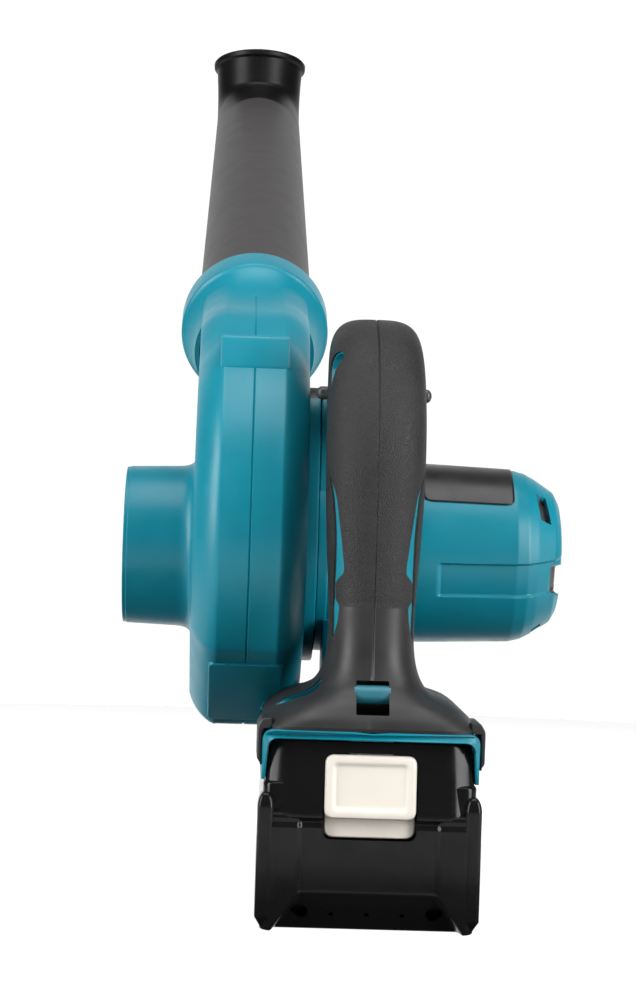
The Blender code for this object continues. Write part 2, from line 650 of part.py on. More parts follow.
def grip_skin(wells, trigger_slot, lock_hole, strap_pocket):
    """The soft skin over the handle in two halves, with a bumper on each side of the foot."""
    skin = handle_solid("skin_outside", 0.0)
    inside = handle_solid("skin_inside", SKIN)
    rim_top = FOOT_BASE + RIM_HEIGHT
    low_end = box("skin_low_end", (-0.06, -0.08, 0.0), (0.06, 0.08, rim_top + CLEARANCE))
    neck_end = box("skin_neck_end", (-0.06, SKIN_END, rim_top + 0.022), (0.06, 0.12, FOOT_BASE + 0.2))
    bridge_room = bridge_block("skin_bridge_room", CLEARANCE)
    front_end = box("skin_front_end", (-0.06, FOOT_SKIN_END, 0.0), (0.06, 0.12, rim_top + 0.030))
    around_volute = volute_room("skin_volute_room", VOLUTE_ROOM)
    window = prism("skin_window", inlay_outline(), -0.05, 0.05)
    cut_away(skin, inside, low_end, neck_end, front_end, bridge_room, around_volute, window, *wells,
             trigger_slot, lock_hole,
             strap_pocket)
    rear = -HALF_LENGTH
    bumpers = []
    for side in (-1, 1):
        inner = side * (FOOT_HALF + CLEARANCE)
        outer = side * (FOOT_HALF + BUMPER_PROUD)
        pad = box(f"bumper_{side:+d}", (min(inner, outer), rear + 0.006, FOOT_BASE - 0.0094),
                  (max(inner, outer), rear + 0.030, FOOT_BASE + 0.0062))
        web_inner = side * (FOOT_HALF - 0.0040)
        web_outer = side * (FOOT_HALF + BUMPER_PROUD - CLEARANCE)
        web = box(f"bumper_web_{side:+d}", (min(web_inner, web_outer), rear + 0.0066,
                                            rim_top + 2 * CLEARANCE),
                  (max(web_inner, web_outer), rear + 0.0294, FOOT_BASE + 0.0058))
        bumpers += [pad, web]
    core = handle_solid("bumper_core", SKIN + CLEARANCE / 2)
    join_to(skin, *bumpers)
    for web in bumpers[1::2]:
        cut_away(web, core)
    split = CLEARANCE / 2
    low, high = -0.02, FOOT_BASE + 0.2
    part_of("grip_left", skin, (-0.07, -0.1, low), (-split, 0.15, high), ELASTOMER)
    part_of("grip_right", skin, (split, -0.1, low), (0.07, 0.15, high), ELASTOMER)


def bridge_block(name, extra):
    """The block that ties the front of the foot to the underside of the motor barrel."""
    half = BRIDGE_HALF_WIDTH + extra
    return box(name, (-half, 0.0240 - extra, FOOT_BASE + 0.0080), (half, 0.0600 + extra, MOTOR_Z - 0.0200),
               None, 0.004, "Z")


def barrel_outline(inset):
    """The motor barrel's outline as (x, radius), with its wall removed by an inset."""
    return [(BARREL_ROOT_X, BARREL_ROOT_RADIUS - inset), (0.022, BARREL_ROOT_RADIUS - 0.0003 - inset),
            (BARREL_END_X - 0.018, BARREL_RADIUS - inset),
            (BARREL_END_X - 0.0098, BARREL_RADIUS - 0.0031 - inset),
            (BARREL_END_X - 0.0028 - inset * 0.4, BARREL_RADIUS - 0.0077 - inset),
            (BARREL_END_X - 0.0008 - inset, BARREL_RADIUS - 0.0114 - inset),
            (BARREL_END_X - inset, BARREL_RADIUS - 0.0154 - inset), (BARREL_END_X - inset, 0.0)]


BARREL_ROOT_X = FLANGE_X + 0.0039
REAR_BEARING_X = BARREL_END_X - 0.0130
VENT_ANGLES = [math.radians(42 + 60 * step) for step in range(5)]
PANEL_ANGLE = math.radians(-16)


def volute_room(name, extra):
    """The lower part of the volute's outer shape and a margin round it, which the foot keeps clear of."""
    radius = SCROLL_START_RADIUS + SCROLL_GROWTH * VOLUTE_ROOM_REACH + extra
    outline = [(VOLUTE_LEFT_X, 0), (VOLUTE_LEFT_X, radius)]
    outline += [(VOLUTE_RIGHT_X + extra - x, radius - inset) for x, inset in reversed(SHOULDER)]
    outline.append((VOLUTE_RIGHT_X + extra, 0))
    return turned(name, outline, MOTOR, X_AXIS)


def housing():
    """The two shells that make the foot, the grip, the neck and the motor barrel."""
    wells, trigger_slot, lock_hole, strap_pocket = handle_cutters()
    grip_skin(wells, trigger_slot, lock_hole, strap_pocket)
    rear, front = -HALF_LENGTH, HALF_LENGTH

    outer = handle_solid("housing_outer", SHELL_INSET)
    rim = box("foot_rim", (-FOOT_HALF, rear, FOOT_BASE), (FOOT_HALF, front, FOOT_BASE + RIM_HEIGHT), None,
              0.0050, "Z")
    barrel = turned("barrel_outer", [(FLANGE_X, 0), (FLANGE_X, FLANGE_RADIUS),
                                     (BARREL_ROOT_X, FLANGE_RADIUS)]
                    + barrel_outline(0.0), MOTOR, X_AXIS)
    neck = disc_hull("neck_outer", [(MOTOR_Y, MOTOR_Z, BARREL_ROOT_RADIUS - 0.004),
                                    (*NECK_CENTRE, NECK_RADIUS)],
                     FLANGE_X, -0.0080)
    bridge = bridge_block("bridge_outer", 0.0)
    skirts, rails = [], []
    skirt_low = DECK_HEIGHT + 0.0013
    hump_half = HALF_WIDTH - HUMP_NARROWER
    rail_inner = TOWER_WIDTH / 2 - GROOVE_DEPTH + CLEARANCE
    rail_outer = TOWER_WIDTH / 2 + 0.0044
    rail_rear = rear + HUMP_LENGTH + 0.002
    rail_front = rear + HUMP_LENGTH + TOWER_LENGTH - 0.002
    for side in (-1, 1):
        span = sorted((side * (hump_half + CLEARANCE), side * FOOT_HALF))
        skirts.append(box(f"skirt_{side:+d}", (span[0], rear + 0.0050, skirt_low),
                          (span[1], front - 0.005, FOOT_BASE + 0.001)))
        web = sorted((side * (TOWER_WIDTH / 2 + 0.0020), side * rail_outer))
        lip = sorted((side * rail_inner, side * rail_outer))
        rails.append(box(f"rail_web_{side:+d}", (web[0], rail_rear, GROOVE_LOW + CLEARANCE),
                         (web[1], rail_front, FOOT_BASE + 0.001)))
        rails.append(box(f"rail_lip_{side:+d}", (lip[0], rail_rear, GROOVE_LOW + CLEARANCE),
                         (lip[1], rail_front, GROOVE_HIGH - CLEARANCE)))
    join_to(outer, rim, barrel, neck, bridge, *skirts, *rails)
    cut_away(outer, volute_room("housing_volute_room", VOLUTE_ROOM))

    cavity = handle_solid("housing_cavity", CAVITY_INSET)
    floor = box("housing_floor", (-0.06, -0.1, 0.0), (0.06, 0.1, FOOT_BASE + FOOT_FLOOR))
    motor_room = turned("motor_room",
                        [(FLANGE_X + WALL, 0)] + [(FLANGE_X + WALL, BARREL_ROOT_RADIUS - WALL)]
                        + barrel_outline(WALL)[1:], MOTOR, X_AXIS)
    bridge_room = box("bridge_room", (-BRIDGE_HALF_WIDTH + WALL, 0.0240 + WALL, FOOT_BASE + 0.0070),
                      (BRIDGE_HALF_WIDTH - WALL, 0.0600 - WALL, MOTOR_Z - 0.0250))
    rib_inner = CAN_RADIUS + CLEARANCE
    ribs = [tube_ring(f"motor_rib_{i}", x, x + 0.002, BARREL_ROOT_RADIUS + 0.001, rib_inner, steps=24)
            for i, x in enumerate((0.006, BARREL_END_X - 0.0360))]
    seat = tube_ring("front_bearing_seat", FLANGE_X + 0.001, FLANGE_X + WALL + BEARING_WIDTH + 0.0006,
                     BEARING_RADIUS + 0.0030, BEARING_RADIUS + CLEARANCE, steps=20)
    rear_seat = tube_ring("rear_bearing_seat", REAR_BEARING_X, BARREL_END_X - 0.001,
                          REAR_BEARING_RADIUS + 0.0028, REAR_BEARING_RADIUS + CLEARANCE, steps=20)
    bosses = []
    for name, (y, height, head, tip) in HOUSING_SCREWS.items():
        reach = 0.040 if height < 0.02 else 0.020
        bosses.append(cylinder("boss_" + name, (-reach, y, FOOT_BASE + height),
                               (reach, y, FOOT_BASE + height), 0.0052, sides=12))
    strap_block = box("strap_block", (-STRAP_HALF_WIDTH - WALL, rear, FOOT_BASE + STRAP_LOW - WALL),
                      (STRAP_HALF_WIDTH + WALL, rear + 0.0170 + WALL, FOOT_BASE + STRAP_HIGH + WALL))
    cut_away(cavity, floor)
    join_to(cavity, motor_room, bridge_room)
    close_seams(cut_away(cavity, *ribs, seat, rear_seat, *bosses, strap_block,
                         volute_room("cavity_volute_room", VOLUTE_ROOM + WALL)))

    shaft_hole = cylinder("housing_shaft_hole", (FLANGE_X - OVERSHOOT, MOTOR_Y, MOTOR_Z),
                          (FLANGE_X + WALL + 0.001, MOTOR_Y, MOTOR_Z), 0.0065)
    screw_holes = []
    for name, (y, height, head, tip) in HOUSING_SCREWS.items():
        z = FOOT_BASE + height
        screw_holes.append(cylinder("hole_" + name, (head - 0.001, y, z), (tip + 0.0006, y, z), 0.0018,
                                    sides=10))
    latch_notch = box("latch_notch", (-LATCH_WIDTH / 2 - 0.0006, rear - OVERSHOOT, FOOT_BASE - 0.002),
                      (LATCH_WIDTH / 2 + 0.0006, rear + 0.0104 + 0.0006,
                       FOOT_BASE + LATCH_BITE + CLEARANCE))
    terminal_hole = box("terminal_hole", (-0.0198, 0.0050, FOOT_BASE - 0.001),
                        (0.0198, 0.0350, FOOT_BASE + FOOT_FLOOR + 0.001))
    terminal_room = box("terminal_room", (-0.0228, 0.0022, FOOT_BASE + FOOT_FLOOR - 0.0002),
                        (0.0228, 0.0378, FOOT_BASE + 0.0066))
    strap_bar = cylinder("strap_bar", (-0.012, rear + 0.0100, FOOT_BASE + (STRAP_LOW + STRAP_HIGH) / 2),
                         (0.012, rear + 0.0100, FOOT_BASE + (STRAP_LOW + STRAP_HIGH) / 2), STRAP_BAR_RADIUS)
    housing_pocket = box("housing_strap_pocket", (-STRAP_HALF_WIDTH, rear - 0.002, FOOT_BASE + STRAP_LOW),
                         (STRAP_HALF_WIDTH, rear + 0.0170, FOOT_BASE + STRAP_HIGH))
    cut_away(housing_pocket, strap_bar)
    vents = []
    for i, angle in enumerate(VENT_ANGLES):
        vents.append(radial_box(f"vent_{i}", angle, BARREL_END_X - 0.0095, BARREL_END_X - 0.0062, 0.0060,
                                0.020, 0.040))
    panel = radial_box("panel_recess", PANEL_ANGLE, 0.0277, BARREL_END_X + 0.01, 0.0062,
                       BARREL_RADIUS - 0.0012, 0.045)
    cut_away(outer, cavity, shaft_hole, latch_notch, terminal_hole, terminal_room, housing_pocket,
             trigger_slot,
             lock_hole, *wells, *screw_holes, *vents, panel)

    split = CLEARANCE / 2
    part_of("housing_left", outer, (-0.06, -0.1, 0.0), (-split, 0.15, FOOT_BASE + 0.2), TEAL)
    part_of("housing_right", outer, (split, -0.1, 0.0), (BARREL_END_X + 0.01, 0.15, FOOT_BASE + 0.2), TEAL)
    housing_screws()
    label_plate()


def radial_box(name, angle, x_low, x_high, half_width, radius_low, radius_high):
    """A box that sticks out of the motor's axis. The angle runs from the rear upwards."""
    turn = Matrix.Translation(MOTOR) @ Matrix.Rotation(-angle, 4, "X")
    work = bmesh.new()
    bmesh.ops.create_cube(work, size=1.0)
    size = (x_high - x_low, radius_high - radius_low, 2 * half_width)
    centre = ((x_high + x_low) / 2, -(radius_high + radius_low) / 2, 0.0)
    bmesh.ops.transform(work, matrix=turn @ Matrix.Translation(centre) @ Matrix.Diagonal((*size, 1.0)),
                        verts=work.verts)
    return place(name, mesh_from(work, name))


def housing_screws():
    """The screws that hold the two housing shells together, driven from the left."""
    for name, (y, height, head, tip) in HOUSING_SCREWS.items():
        turned(name, [(head - CLEARANCE - 0.0022, 0), (head - CLEARANCE - 0.0022, 0.0030),
                      (head - CLEARANCE, 0.0030),
                      (head - CLEARANCE, 0.0015), (tip, 0.0015), (tip, 0)],
               (0, y, FOOT_BASE + height), X_AXIS, STEEL, 10)


def label_plate():
    """The blank rating plate on top of the motor barrel."""
    low, high = 0.0240, BARREL_END_X - 0.0190
    slope = (BARREL_ROOT_RADIUS - 0.0003 - BARREL_RADIUS) / (BARREL_END_X - 0.018 - 0.022)
    low_radius = BARREL_ROOT_RADIUS - 0.0003 - slope * (low - 0.022) + CLEARANCE
    high_radius = BARREL_ROOT_RADIUS - 0.0003 - slope * (high - 0.022) + CLEARANCE
    thick = 0.0006
    sleeve = turned("label_sleeve", [(low, low_radius + thick), (high, high_radius + thick),
                                     (high, high_radius),
                                     (low, low_radius)], MOTOR, X_AXIS, None, 48, ring=True)
    plate = box("label_plate", (0.0, MOTOR_Y - 0.0275, MOTOR_Z + 0.0195),
                (0.1, MOTOR_Y + 0.006, MOTOR_Z + 0.05), LABEL)
    combine(plate, "INTERSECT", [sleeve])


def controls():
    """The trigger with its spring, the switch behind it and the cross button above it."""
    rear = -HALF_LENGTH
    low, high = FOOT_BASE + TRIGGER_LOW, FOOT_BASE + TRIGGER_HIGH
    front_y = rear + 0.0650
    trigger = box("trigger", (-TRIGGER_HALF, rear + 0.0435, low), (TRIGGER_HALF, front_y, high),
                  DARK_PLASTIC, 0.002, None, 2)
    scoop = cylinder("trigger_scoop", (-0.02, front_y + 0.0165, (low + high) / 2 - 0.001),
                     (0.02, front_y + 0.0165, (low + high) / 2 - 0.001), 0.0190, sides=40)
    spring_well = cylinder("trigger_spring_well", (0, rear + 0.040, low + 0.006),
                           (0, rear + 0.0500, low + 0.006), 0.0032, sides=20)
    cut_away(trigger, scoop, spring_well)
    switch_front = rear + 0.0435 - TRIGGER_TRAVEL - CLEARANCE
    box("switch_body", (-0.0090, switch_front - 0.0120, low - 0.003), (0.0090, switch_front, high + 0.001),
        DARK_PLASTIC,
                 0.001, None, 1)
    start, end = switch_front + CLEARANCE + SPRING_WIRE, rear + 0.0500 - CLEARANCE - SPRING_WIRE
    turns, each = 4, 8
    points = [(0.0022 * math.cos(2 * math.pi * i / each), start + (end - start) * i / (turns * each),
               low + 0.006 + 0.0022 * math.sin(2 * math.pi * i / each)) for i in range(turns * each + 1)]
    spring = swept_tube("trigger_spring", points, SPRING_WIRE, STEEL, resolution=0)
    carried_by("trigger_axis", (0, front_y, (low + high) / 2), [trigger, spring])

    half = GRIP_HALF_WIDTH + LOCK_PROUD
    z = FOOT_BASE + LOCK_PLACE[1]
    lock = turned("lock_button", [(-half, 0), (-half + 0.0004, LOCK_RADIUS * 0.55),
                                  (-half + 0.0012, LOCK_RADIUS * 0.87),
                                  (-half + LOCK_RADIUS, LOCK_RADIUS), (half - LOCK_RADIUS, LOCK_RADIUS),
                                  (half - 0.0012, LOCK_RADIUS * 0.87), (half - 0.0004, LOCK_RADIUS * 0.55),
                                  (half, 0)],
                  (0, LOCK_PLACE[0], z), X_AXIS, DARK_PLASTIC, 14)
    carried_by("lock_button_axis", (0, LOCK_PLACE[0], z), [lock])


def wiring():
    """The terminal block in the foot and the two leads that run up the grip to the switch."""
    base = FOOT_BASE + FOOT_GAP / 2
    block = box("terminal_block", (-0.0195, 0.0053, base), (0.0195, 0.0347, FOOT_BASE + 0.0062),
                DARK_PLASTIC)
    flange = box("terminal_flange", (-0.0225, 0.0025, FOOT_BASE + FOOT_FLOOR + CLEARANCE),
                 (0.0225, 0.0375, FOOT_BASE + 0.0060))
    blades = [box(f"terminal_blade_{side:+d}", (side * SLOT_PLACE - 0.0004, SLOT_START + 0.004,
                                                BATTERY_HEIGHT - 0.007),
                  (side * SLOT_PLACE + 0.0004, SLOT_START + 0.020, base + 0.001)) for side in (-1, 1)]
    join_to(block, flange, *blades)
    rear = -HALF_LENGTH
    route = [(0.0180, 0.0074), (0.0120, 0.0086), (0.0040, 0.0110), (rear + 0.0515, 0.0150), (rear + 0.0445, 0.0210),
             (rear + 0.0410, 0.0290), (rear + 0.0390, 0.0390), (rear + 0.0375, 0.0500), (rear + 0.0360, 0.0600),
             (rear + 0.0340, 0.0700)]
    for name, side, finish in (("lead_positive", -1, RED_WIRE), ("lead_negative", 1, LABEL)):
        points = [(side * 0.0045, y, FOOT_BASE + height) for y, height in route]
        swept_tube(name, points, 0.0011, finish, resolution=1)


# ================================================================ motor
def motor():
    """The field can, its magnets, brushes and bearings, and everything that spins."""
    can_low = 0.0012
    can_high = BARREL_END_X - 0.0290
    can_inside = CAN_RADIUS - CAN_WALL
    tube_ring("motor_can", can_low, can_high, CAN_RADIUS, can_inside, STEEL, 36)
    magnet_outer = can_inside - CLEARANCE
    magnet_inner = magnet_outer - MAGNET_THICKNESS
    for name, side in (("magnet_upper", 1), ("magnet_lower", -1)):
        ring = tube_ring(name + "_ring", can_low + 0.003, can_high - 0.003, magnet_outer, magnet_inner,
                         None, 32)
        z = sorted((MOTOR_Z + side * 0.0090, MOTOR_Z + side * 0.05))
        piece = box(name, (-0.01, MOTOR_Y - 0.04, z[0]), (0.06, MOTOR_Y + 0.04, z[1]), FERRITE)
        combine(piece, "INTERSECT", [ring])
    core = magnet_inner - AIR_GAP
    winding = core - 0.0035
    armature = turned("armature", [(can_low + 0.0005, BORE + 0.003), (can_low + 0.0005, winding),
                                   (can_low + 0.0045, winding),
                                   (can_low + 0.0045, core), (can_high - 0.0055, core),
                                   (can_high - 0.0055, winding),
                                   (can_high - 0.0010, winding), (can_high - 0.0010, BORE),
                                   (can_low + 0.0030, BORE),
                                   (can_low + 0.0030, BORE + 0.003)],
                      MOTOR, X_AXIS, COPPER, 20, ring=True)
    commutator_low = can_high + 0.0006
    commutator = tube_ring("commutator", commutator_low, commutator_low + 0.0110, 0.0090, BORE, COPPER, 16)
    bracket = tube_ring("brush_bracket", can_high + CLEARANCE, can_high + 0.0026, CAN_RADIUS - 0.0015,
                        0.0110, DARK_PLASTIC, 24)
    holders, rooms = [], []
    brush_low, brush_high = commutator_low + 0.0030, commutator_low + 0.0085
    for side in (-1, 1):
        z = sorted((MOTOR_Z + side * 0.0112, MOTOR_Z + side * 0.0215))
        holders.append(box(f"brush_holder_{side:+d}", (can_high + 0.0010, MOTOR_Y - 0.0048, z[0]),
                           (brush_high + 0.0016, MOTOR_Y + 0.0048, z[1])))
        z = sorted((MOTOR_Z + side * 0.0100, MOTOR_Z + side * 0.0230))
        rooms.append(box(f"brush_room_{side:+d}", (brush_low - CLEARANCE, MOTOR_Y - 0.0033, z[0]),
                         (brush_high + CLEARANCE, MOTOR_Y + 0.0033, z[1])))
    join_to(bracket, *holders)
    cut_away(bracket, *rooms)
    for name, side in (("brush_upper", 1), ("brush_lower", -1)):
        z = sorted((MOTOR_Z + side * 0.0093, MOTOR_Z + side * 0.0205))
        box(name, (brush_low, MOTOR_Y - 0.0030, z[0]), (brush_high, MOTOR_Y + 0.0030, z[1]), FERRITE)

    bearing_x = FLANGE_X + WALL + CLEARANCE
    tube_ring("front_bearing", bearing_x, bearing_x + BEARING_WIDTH, BEARING_RADIUS, BORE, STEEL, 20)
    tube_ring("rear_bearing", REAR_BEARING_X + CLEARANCE, REAR_BEARING_X + CLEARANCE + 0.005,
              REAR_BEARING_RADIUS, BORE, STEEL, 20)
    fan = cooling_fan(bearing_x + BEARING_WIDTH + 0.0016)
    spinning = [armature, commutator, fan] + impeller()
    carried_by("rotor_axis", (0, MOTOR_Y, MOTOR_Z), spinning)


def cooling_fan(x_low):
    """The small fan that pulls air through the motor."""
    hub = tube_ring("cooling_fan", x_low, x_low + 0.0060, 0.0085, BORE, DARK_PLASTIC, 16)
    disc = tube_ring("fan_disc", x_low, x_low + 0.0014, CAN_RADIUS - 0.0015, 0.0070, None, 20)
    join_to(hub, disc)
    blades = bpy.data.meshes.new("fan_blades")
    work = bmesh.new()
    count = 10
    for i in range(count):
        turn = Matrix.Translation(MOTOR) @ Matrix.Rotation(2 * math.pi * i / count, 4, "X")
        size = (0.0050, 0.0008, CAN_RADIUS - 0.0030 - 0.0120)
        centre = (x_low + 0.0010 + size[0] / 2, 0.0, 0.0120 + size[2] / 2)
        made = bmesh.ops.create_cube(work, size=1.0)
        bmesh.ops.transform(work, matrix=turn @ Matrix.Translation(centre) @ Matrix.Diagonal((*size, 1.0)),
                            verts=made["verts"])
    work.to_mesh(blades)
    work.free()
    join_to(hub, place("fan_blades", blades))
    return hub


def impeller():
    """The blower wheel with its shaft, washer and nut."""
    back = VOLUTE_RIGHT_X - WALL - IMPELLER_GAP
    face = VOLUTE_LEFT_X + WALL + IMPELLER_GAP
    hub_front = face + 0.0060
    wheel = turned("impeller", [(hub_front, 0.0080), (back - 0.0090, 0.0130), (back - 0.0020, 0.0210),
                                (back - 0.0020, IMPELLER_RADIUS), (back, IMPELLER_RADIUS), (back, BORE),
                                (hub_front, BORE)],
                   MOTOR, X_AXIS, DARK_PLASTIC, 27, ring=True)
    blades = bpy.data.meshes.new("impeller_blades")
    work = bmesh.new()
    for i in range(BLADE_COUNT):
        start = 2 * math.pi * i / BLADE_COUNT
        curved_blade(work, start, face, back - 0.0010)
    bmesh.ops.recalc_face_normals(work, faces=work.faces[:])
    work.to_mesh(blades)
    work.free()
    join_to(wheel, place("impeller_blades", blades))
    shaft_low = hub_front - 0.0090
    shaft = cylinder("motor_shaft", (shaft_low, MOTOR_Y, MOTOR_Z),
                     (REAR_BEARING_X + 0.0070, MOTOR_Y, MOTOR_Z), SHAFT_RADIUS, STEEL, 20)
    washer = tube_ring("impeller_washer", hub_front - CLEARANCE - 0.0010, hub_front - CLEARANCE, 0.0070,
                       BORE, STEEL, 14)
    nut_high = hub_front - 2 * CLEARANCE - 0.0010
    nut = cylinder("impeller_nut", (nut_high - 0.0050, MOTOR_Y, MOTOR_Z), (nut_high, MOTOR_Y, MOTOR_Z),
                   0.0058, STEEL, 6)
    cut_away(nut, cylinder("nut_bore", (nut_high - 0.01, MOTOR_Y, MOTOR_Z),
                           (nut_high + 0.01, MOTOR_Y, MOTOR_Z), BORE, None, 20))
    return [wheel, shaft, washer, nut]


def curved_blade(work, start, x_face, x_back):
    """One backward-swept blade between the wheel's eye and its rim, slanted off at the eye."""
    steps, thick, inner, outer, sweep = 4, 0.0014, 0.0185, IMPELLER_RADIUS - 0.0005, math.radians(48)
    sides = []
    for i in range(steps + 1):
        t = i / steps
        radius = inner + (outer - inner) * t
        angle = start + sweep * t ** 1.3
        out = Vector((0.0, math.cos(angle), math.sin(angle)))
        across = Vector((0.0, -math.sin(angle + 0.6), math.cos(angle + 0.6)))
        front = x_face + 0.0050 * (1 - t) ** 2
        rows = []
        for offset in (-thick / 2, thick / 2):
            base = MOTOR + out * radius + across * offset
            rows.append([work.verts.new((x, base.y, base.z)) for x in (front, x_back)])
        sides.append((rows[0][0], rows[0][1], rows[1][1], rows[1][0]))
    for one, two in zip(sides, sides[1:]):
        for i in range(4):
            j = (i + 1) % 4
            work.faces.new((one[i], one[j], two[j], two[i]))
    work.faces.new(sides[0])
    work.faces.new(tuple(reversed(sides[-1])))


# ================================================================ volute
def scroll_outline(inset):
    """The volute's outline as (along, across) points from the motor's axis, drawn in by an inset."""
    outlet_half = OUTLET_HALF_HEIGHT - inset * OUTLET_SHOULDER
    low = OUTLET_OFFSET - outlet_half
    first = SCROLL_START_RADIUS - inset
    start = math.asin(low / first)
    points = []
    for step in range(SCROLL_POINTS + 1):
        angle = start + (-1.5 * math.pi - start) * step / SCROLL_POINTS
        past_front = max(0.0, -math.degrees(angle + OUTLET_ANGLE))
        radius = first + SCROLL_GROWTH * past_front
        points.append((radius * math.cos(angle), radius * math.sin(angle)))
    top = OUTLET_OFFSET + outlet_half
    end = OUTLET_END - 0.006
    points += [(end * 0.5, (points[-1][1] + top) / 2), (end, top), (end, low)]
    return points


def foot_flat(points, inset):
    """Cut the scroll's lower rear to a flat pad, at a set distance from the motor's axis."""
    normal = math.radians(237) - OUTLET_ANGLE
    limit = 0.0640 - inset
    pressed = []
    for along, across in points:
        reach = along * math.cos(normal) + across * math.sin(normal)
        over = max(0.0, reach - limit)
        pressed.append((along - over * math.cos(normal), across - over * math.sin(normal)))
    return pressed


def volute_solid(name, wall):
    """The volute without its collar and inlet, or with a wall its inside."""
    sections = [(VOLUTE_LEFT_X + wall + x, inset) for x, inset in SHOULDER]
    sections += [(VOLUTE_RIGHT_X - wall - x, inset) for x, inset in reversed(SHOULDER)]
    rings = []
    for x, inset in sections:
        ring = []
        for along, across in foot_flat(scroll_outline(inset + wall), inset + wall):
            point = Vector((x, MOTOR_Y, MOTOR_Z)) + ALONG * along + ACROSS * across
            ring.append(tuple(point))
        rings.append(ring)
    return loft(name, rings)


VOLUTE_SCREWS = {  # name: (reach past the scroll's start radius, angle up from the outlet's direction)
    "volute_screw_tongue": (0.0052, math.radians(15.4)),
    "volute_screw_front": (0.0055, math.radians(-39.8)),
    "volute_screw_rear": (0.0073, math.radians(185.4))}


def screw_spot(name):
    """Where the axis of one of the volute's screws passes, at X = 0."""
    reach, angle = VOLUTE_SCREWS[name]
    radius = SCROLL_START_RADIUS + reach
    return MOTOR + ALONG * (radius * math.cos(angle)) + ACROSS * (radius * math.sin(angle))


def volute():
    """The two halves of the volute with the inlet, its grille and the screws."""
    outer = volute_solid("volute_outer", 0.0)
    root = INLET_RADIUS + 0.0008
    inlet = turned("inlet_outer", [(INLET_END_X, 0), (INLET_END_X, INLET_RADIUS),
                                   (VOLUTE_LEFT_X - 0.005, root),
                                   (VOLUTE_LEFT_X - 0.0018, root + 0.0014), (VOLUTE_LEFT_X, root + 0.005),
                                   (VOLUTE_LEFT_X + WALL / 2, root + 0.005),
                                   (VOLUTE_LEFT_X + WALL / 2, 0)], MOTOR, X_AXIS, None, 36)
    collar_radius = COLLAR_BORE + 0.0056
    collar = turned("collar_outer", [(0.066, 0), (0.066, 0.0235), (0.084, collar_radius - 0.0012),
                                     (0.0865, collar_radius),
                                     (OUTLET_END - 0.0010, collar_radius),
                                     (OUTLET_END, collar_radius - 0.0010), (OUTLET_END, 0)],
                    OUTLET, ALONG, None, 36)
    boss = disc_hull("volute_boss", [(MOTOR_Y, MOTOR_Z, FLANGE_RADIUS + 0.0040),
                                     (*NECK_CENTRE, NECK_RADIUS)],
                     VOLUTE_RIGHT_X - WALL / 2, FLANGE_X - CLEARANCE)
    lugs = []
    for name in ("volute_screw_tongue", "volute_screw_front"):
        spot = screw_spot(name)
        lugs.append(cylinder("lug_" + name, (VOLUTE_LEFT_X + 0.008, spot.y, spot.z),
                             (VOLUTE_RIGHT_X - 0.008, spot.y, spot.z), 0.0058))
    join_to(outer, inlet, collar, boss, *lugs)

    passage = volute_solid("volute_passage", WALL)
    bore = cylinder("collar_bore", OUTLET + ALONG * 0.078, OUTLET + ALONG * (OUTLET_END + OVERSHOOT),
                    COLLAR_BORE, sides=36)
    inlet_bore = cylinder("inlet_bore", (INLET_END_X - OVERSHOOT, MOTOR_Y, MOTOR_Z),
                          (VOLUTE_LEFT_X + WALL + 0.002, MOTOR_Y, MOTOR_Z), INLET_BORE, sides=36)
    spot = screw_spot("volute_screw_rear")
    inner_boss = cylinder("boss_volute_rear", (VOLUTE_LEFT_X, spot.y, spot.z),
                          (VOLUTE_RIGHT_X, spot.y, spot.z), 0.0050)
    cut_away(passage, inner_boss)
    shaft_hole = cylinder("volute_shaft_hole", (VOLUTE_RIGHT_X - 0.01, MOTOR_Y, MOTOR_Z),
                          (FLANGE_X + 0.001, MOTOR_Y, MOTOR_Z), 0.0090)
    holes = []
    seat = VOLUTE_RIGHT_X - 0.0110
    tip = VOLUTE_LEFT_X + 0.0115
    for name in VOLUTE_SCREWS:
        spot = screw_spot(name)
        holes.append(cylinder("access_" + name, (seat, spot.y, spot.z),
                              (VOLUTE_RIGHT_X + OVERSHOOT, spot.y, spot.z), 0.0034, sides=12))
        holes.append(cylinder("hole_" + name, (tip - 0.0006, spot.y, spot.z),
                              (seat + 0.001, spot.y, spot.z), 0.0018, sides=10))
    cut_away(outer, passage, bore, inlet_bore, shaft_hole, *holes)
    split = CLEARANCE / 2
    low, high = (-0.12, -0.1, 0.0), (0.02, 0.30, 0.40)
    part_of("volute_left", outer, low, (VOLUTE_SPLIT_X - split, high[1], high[2]), TEAL)
    part_of("volute_right", outer, (VOLUTE_SPLIT_X + split, low[1], low[2]), high, TEAL)
    for name in VOLUTE_SCREWS:
        spot = screw_spot(name)
        head = seat + CLEARANCE
        turned(name, [(tip, 0), (tip, 0.0015), (head, 0.0015), (head, 0.0029), (head + 0.0022, 0.0029),
                      (head + 0.0022, 0)],
               (0, spot.y, spot.z), X_AXIS, STEEL, 10)
    inlet_grille()


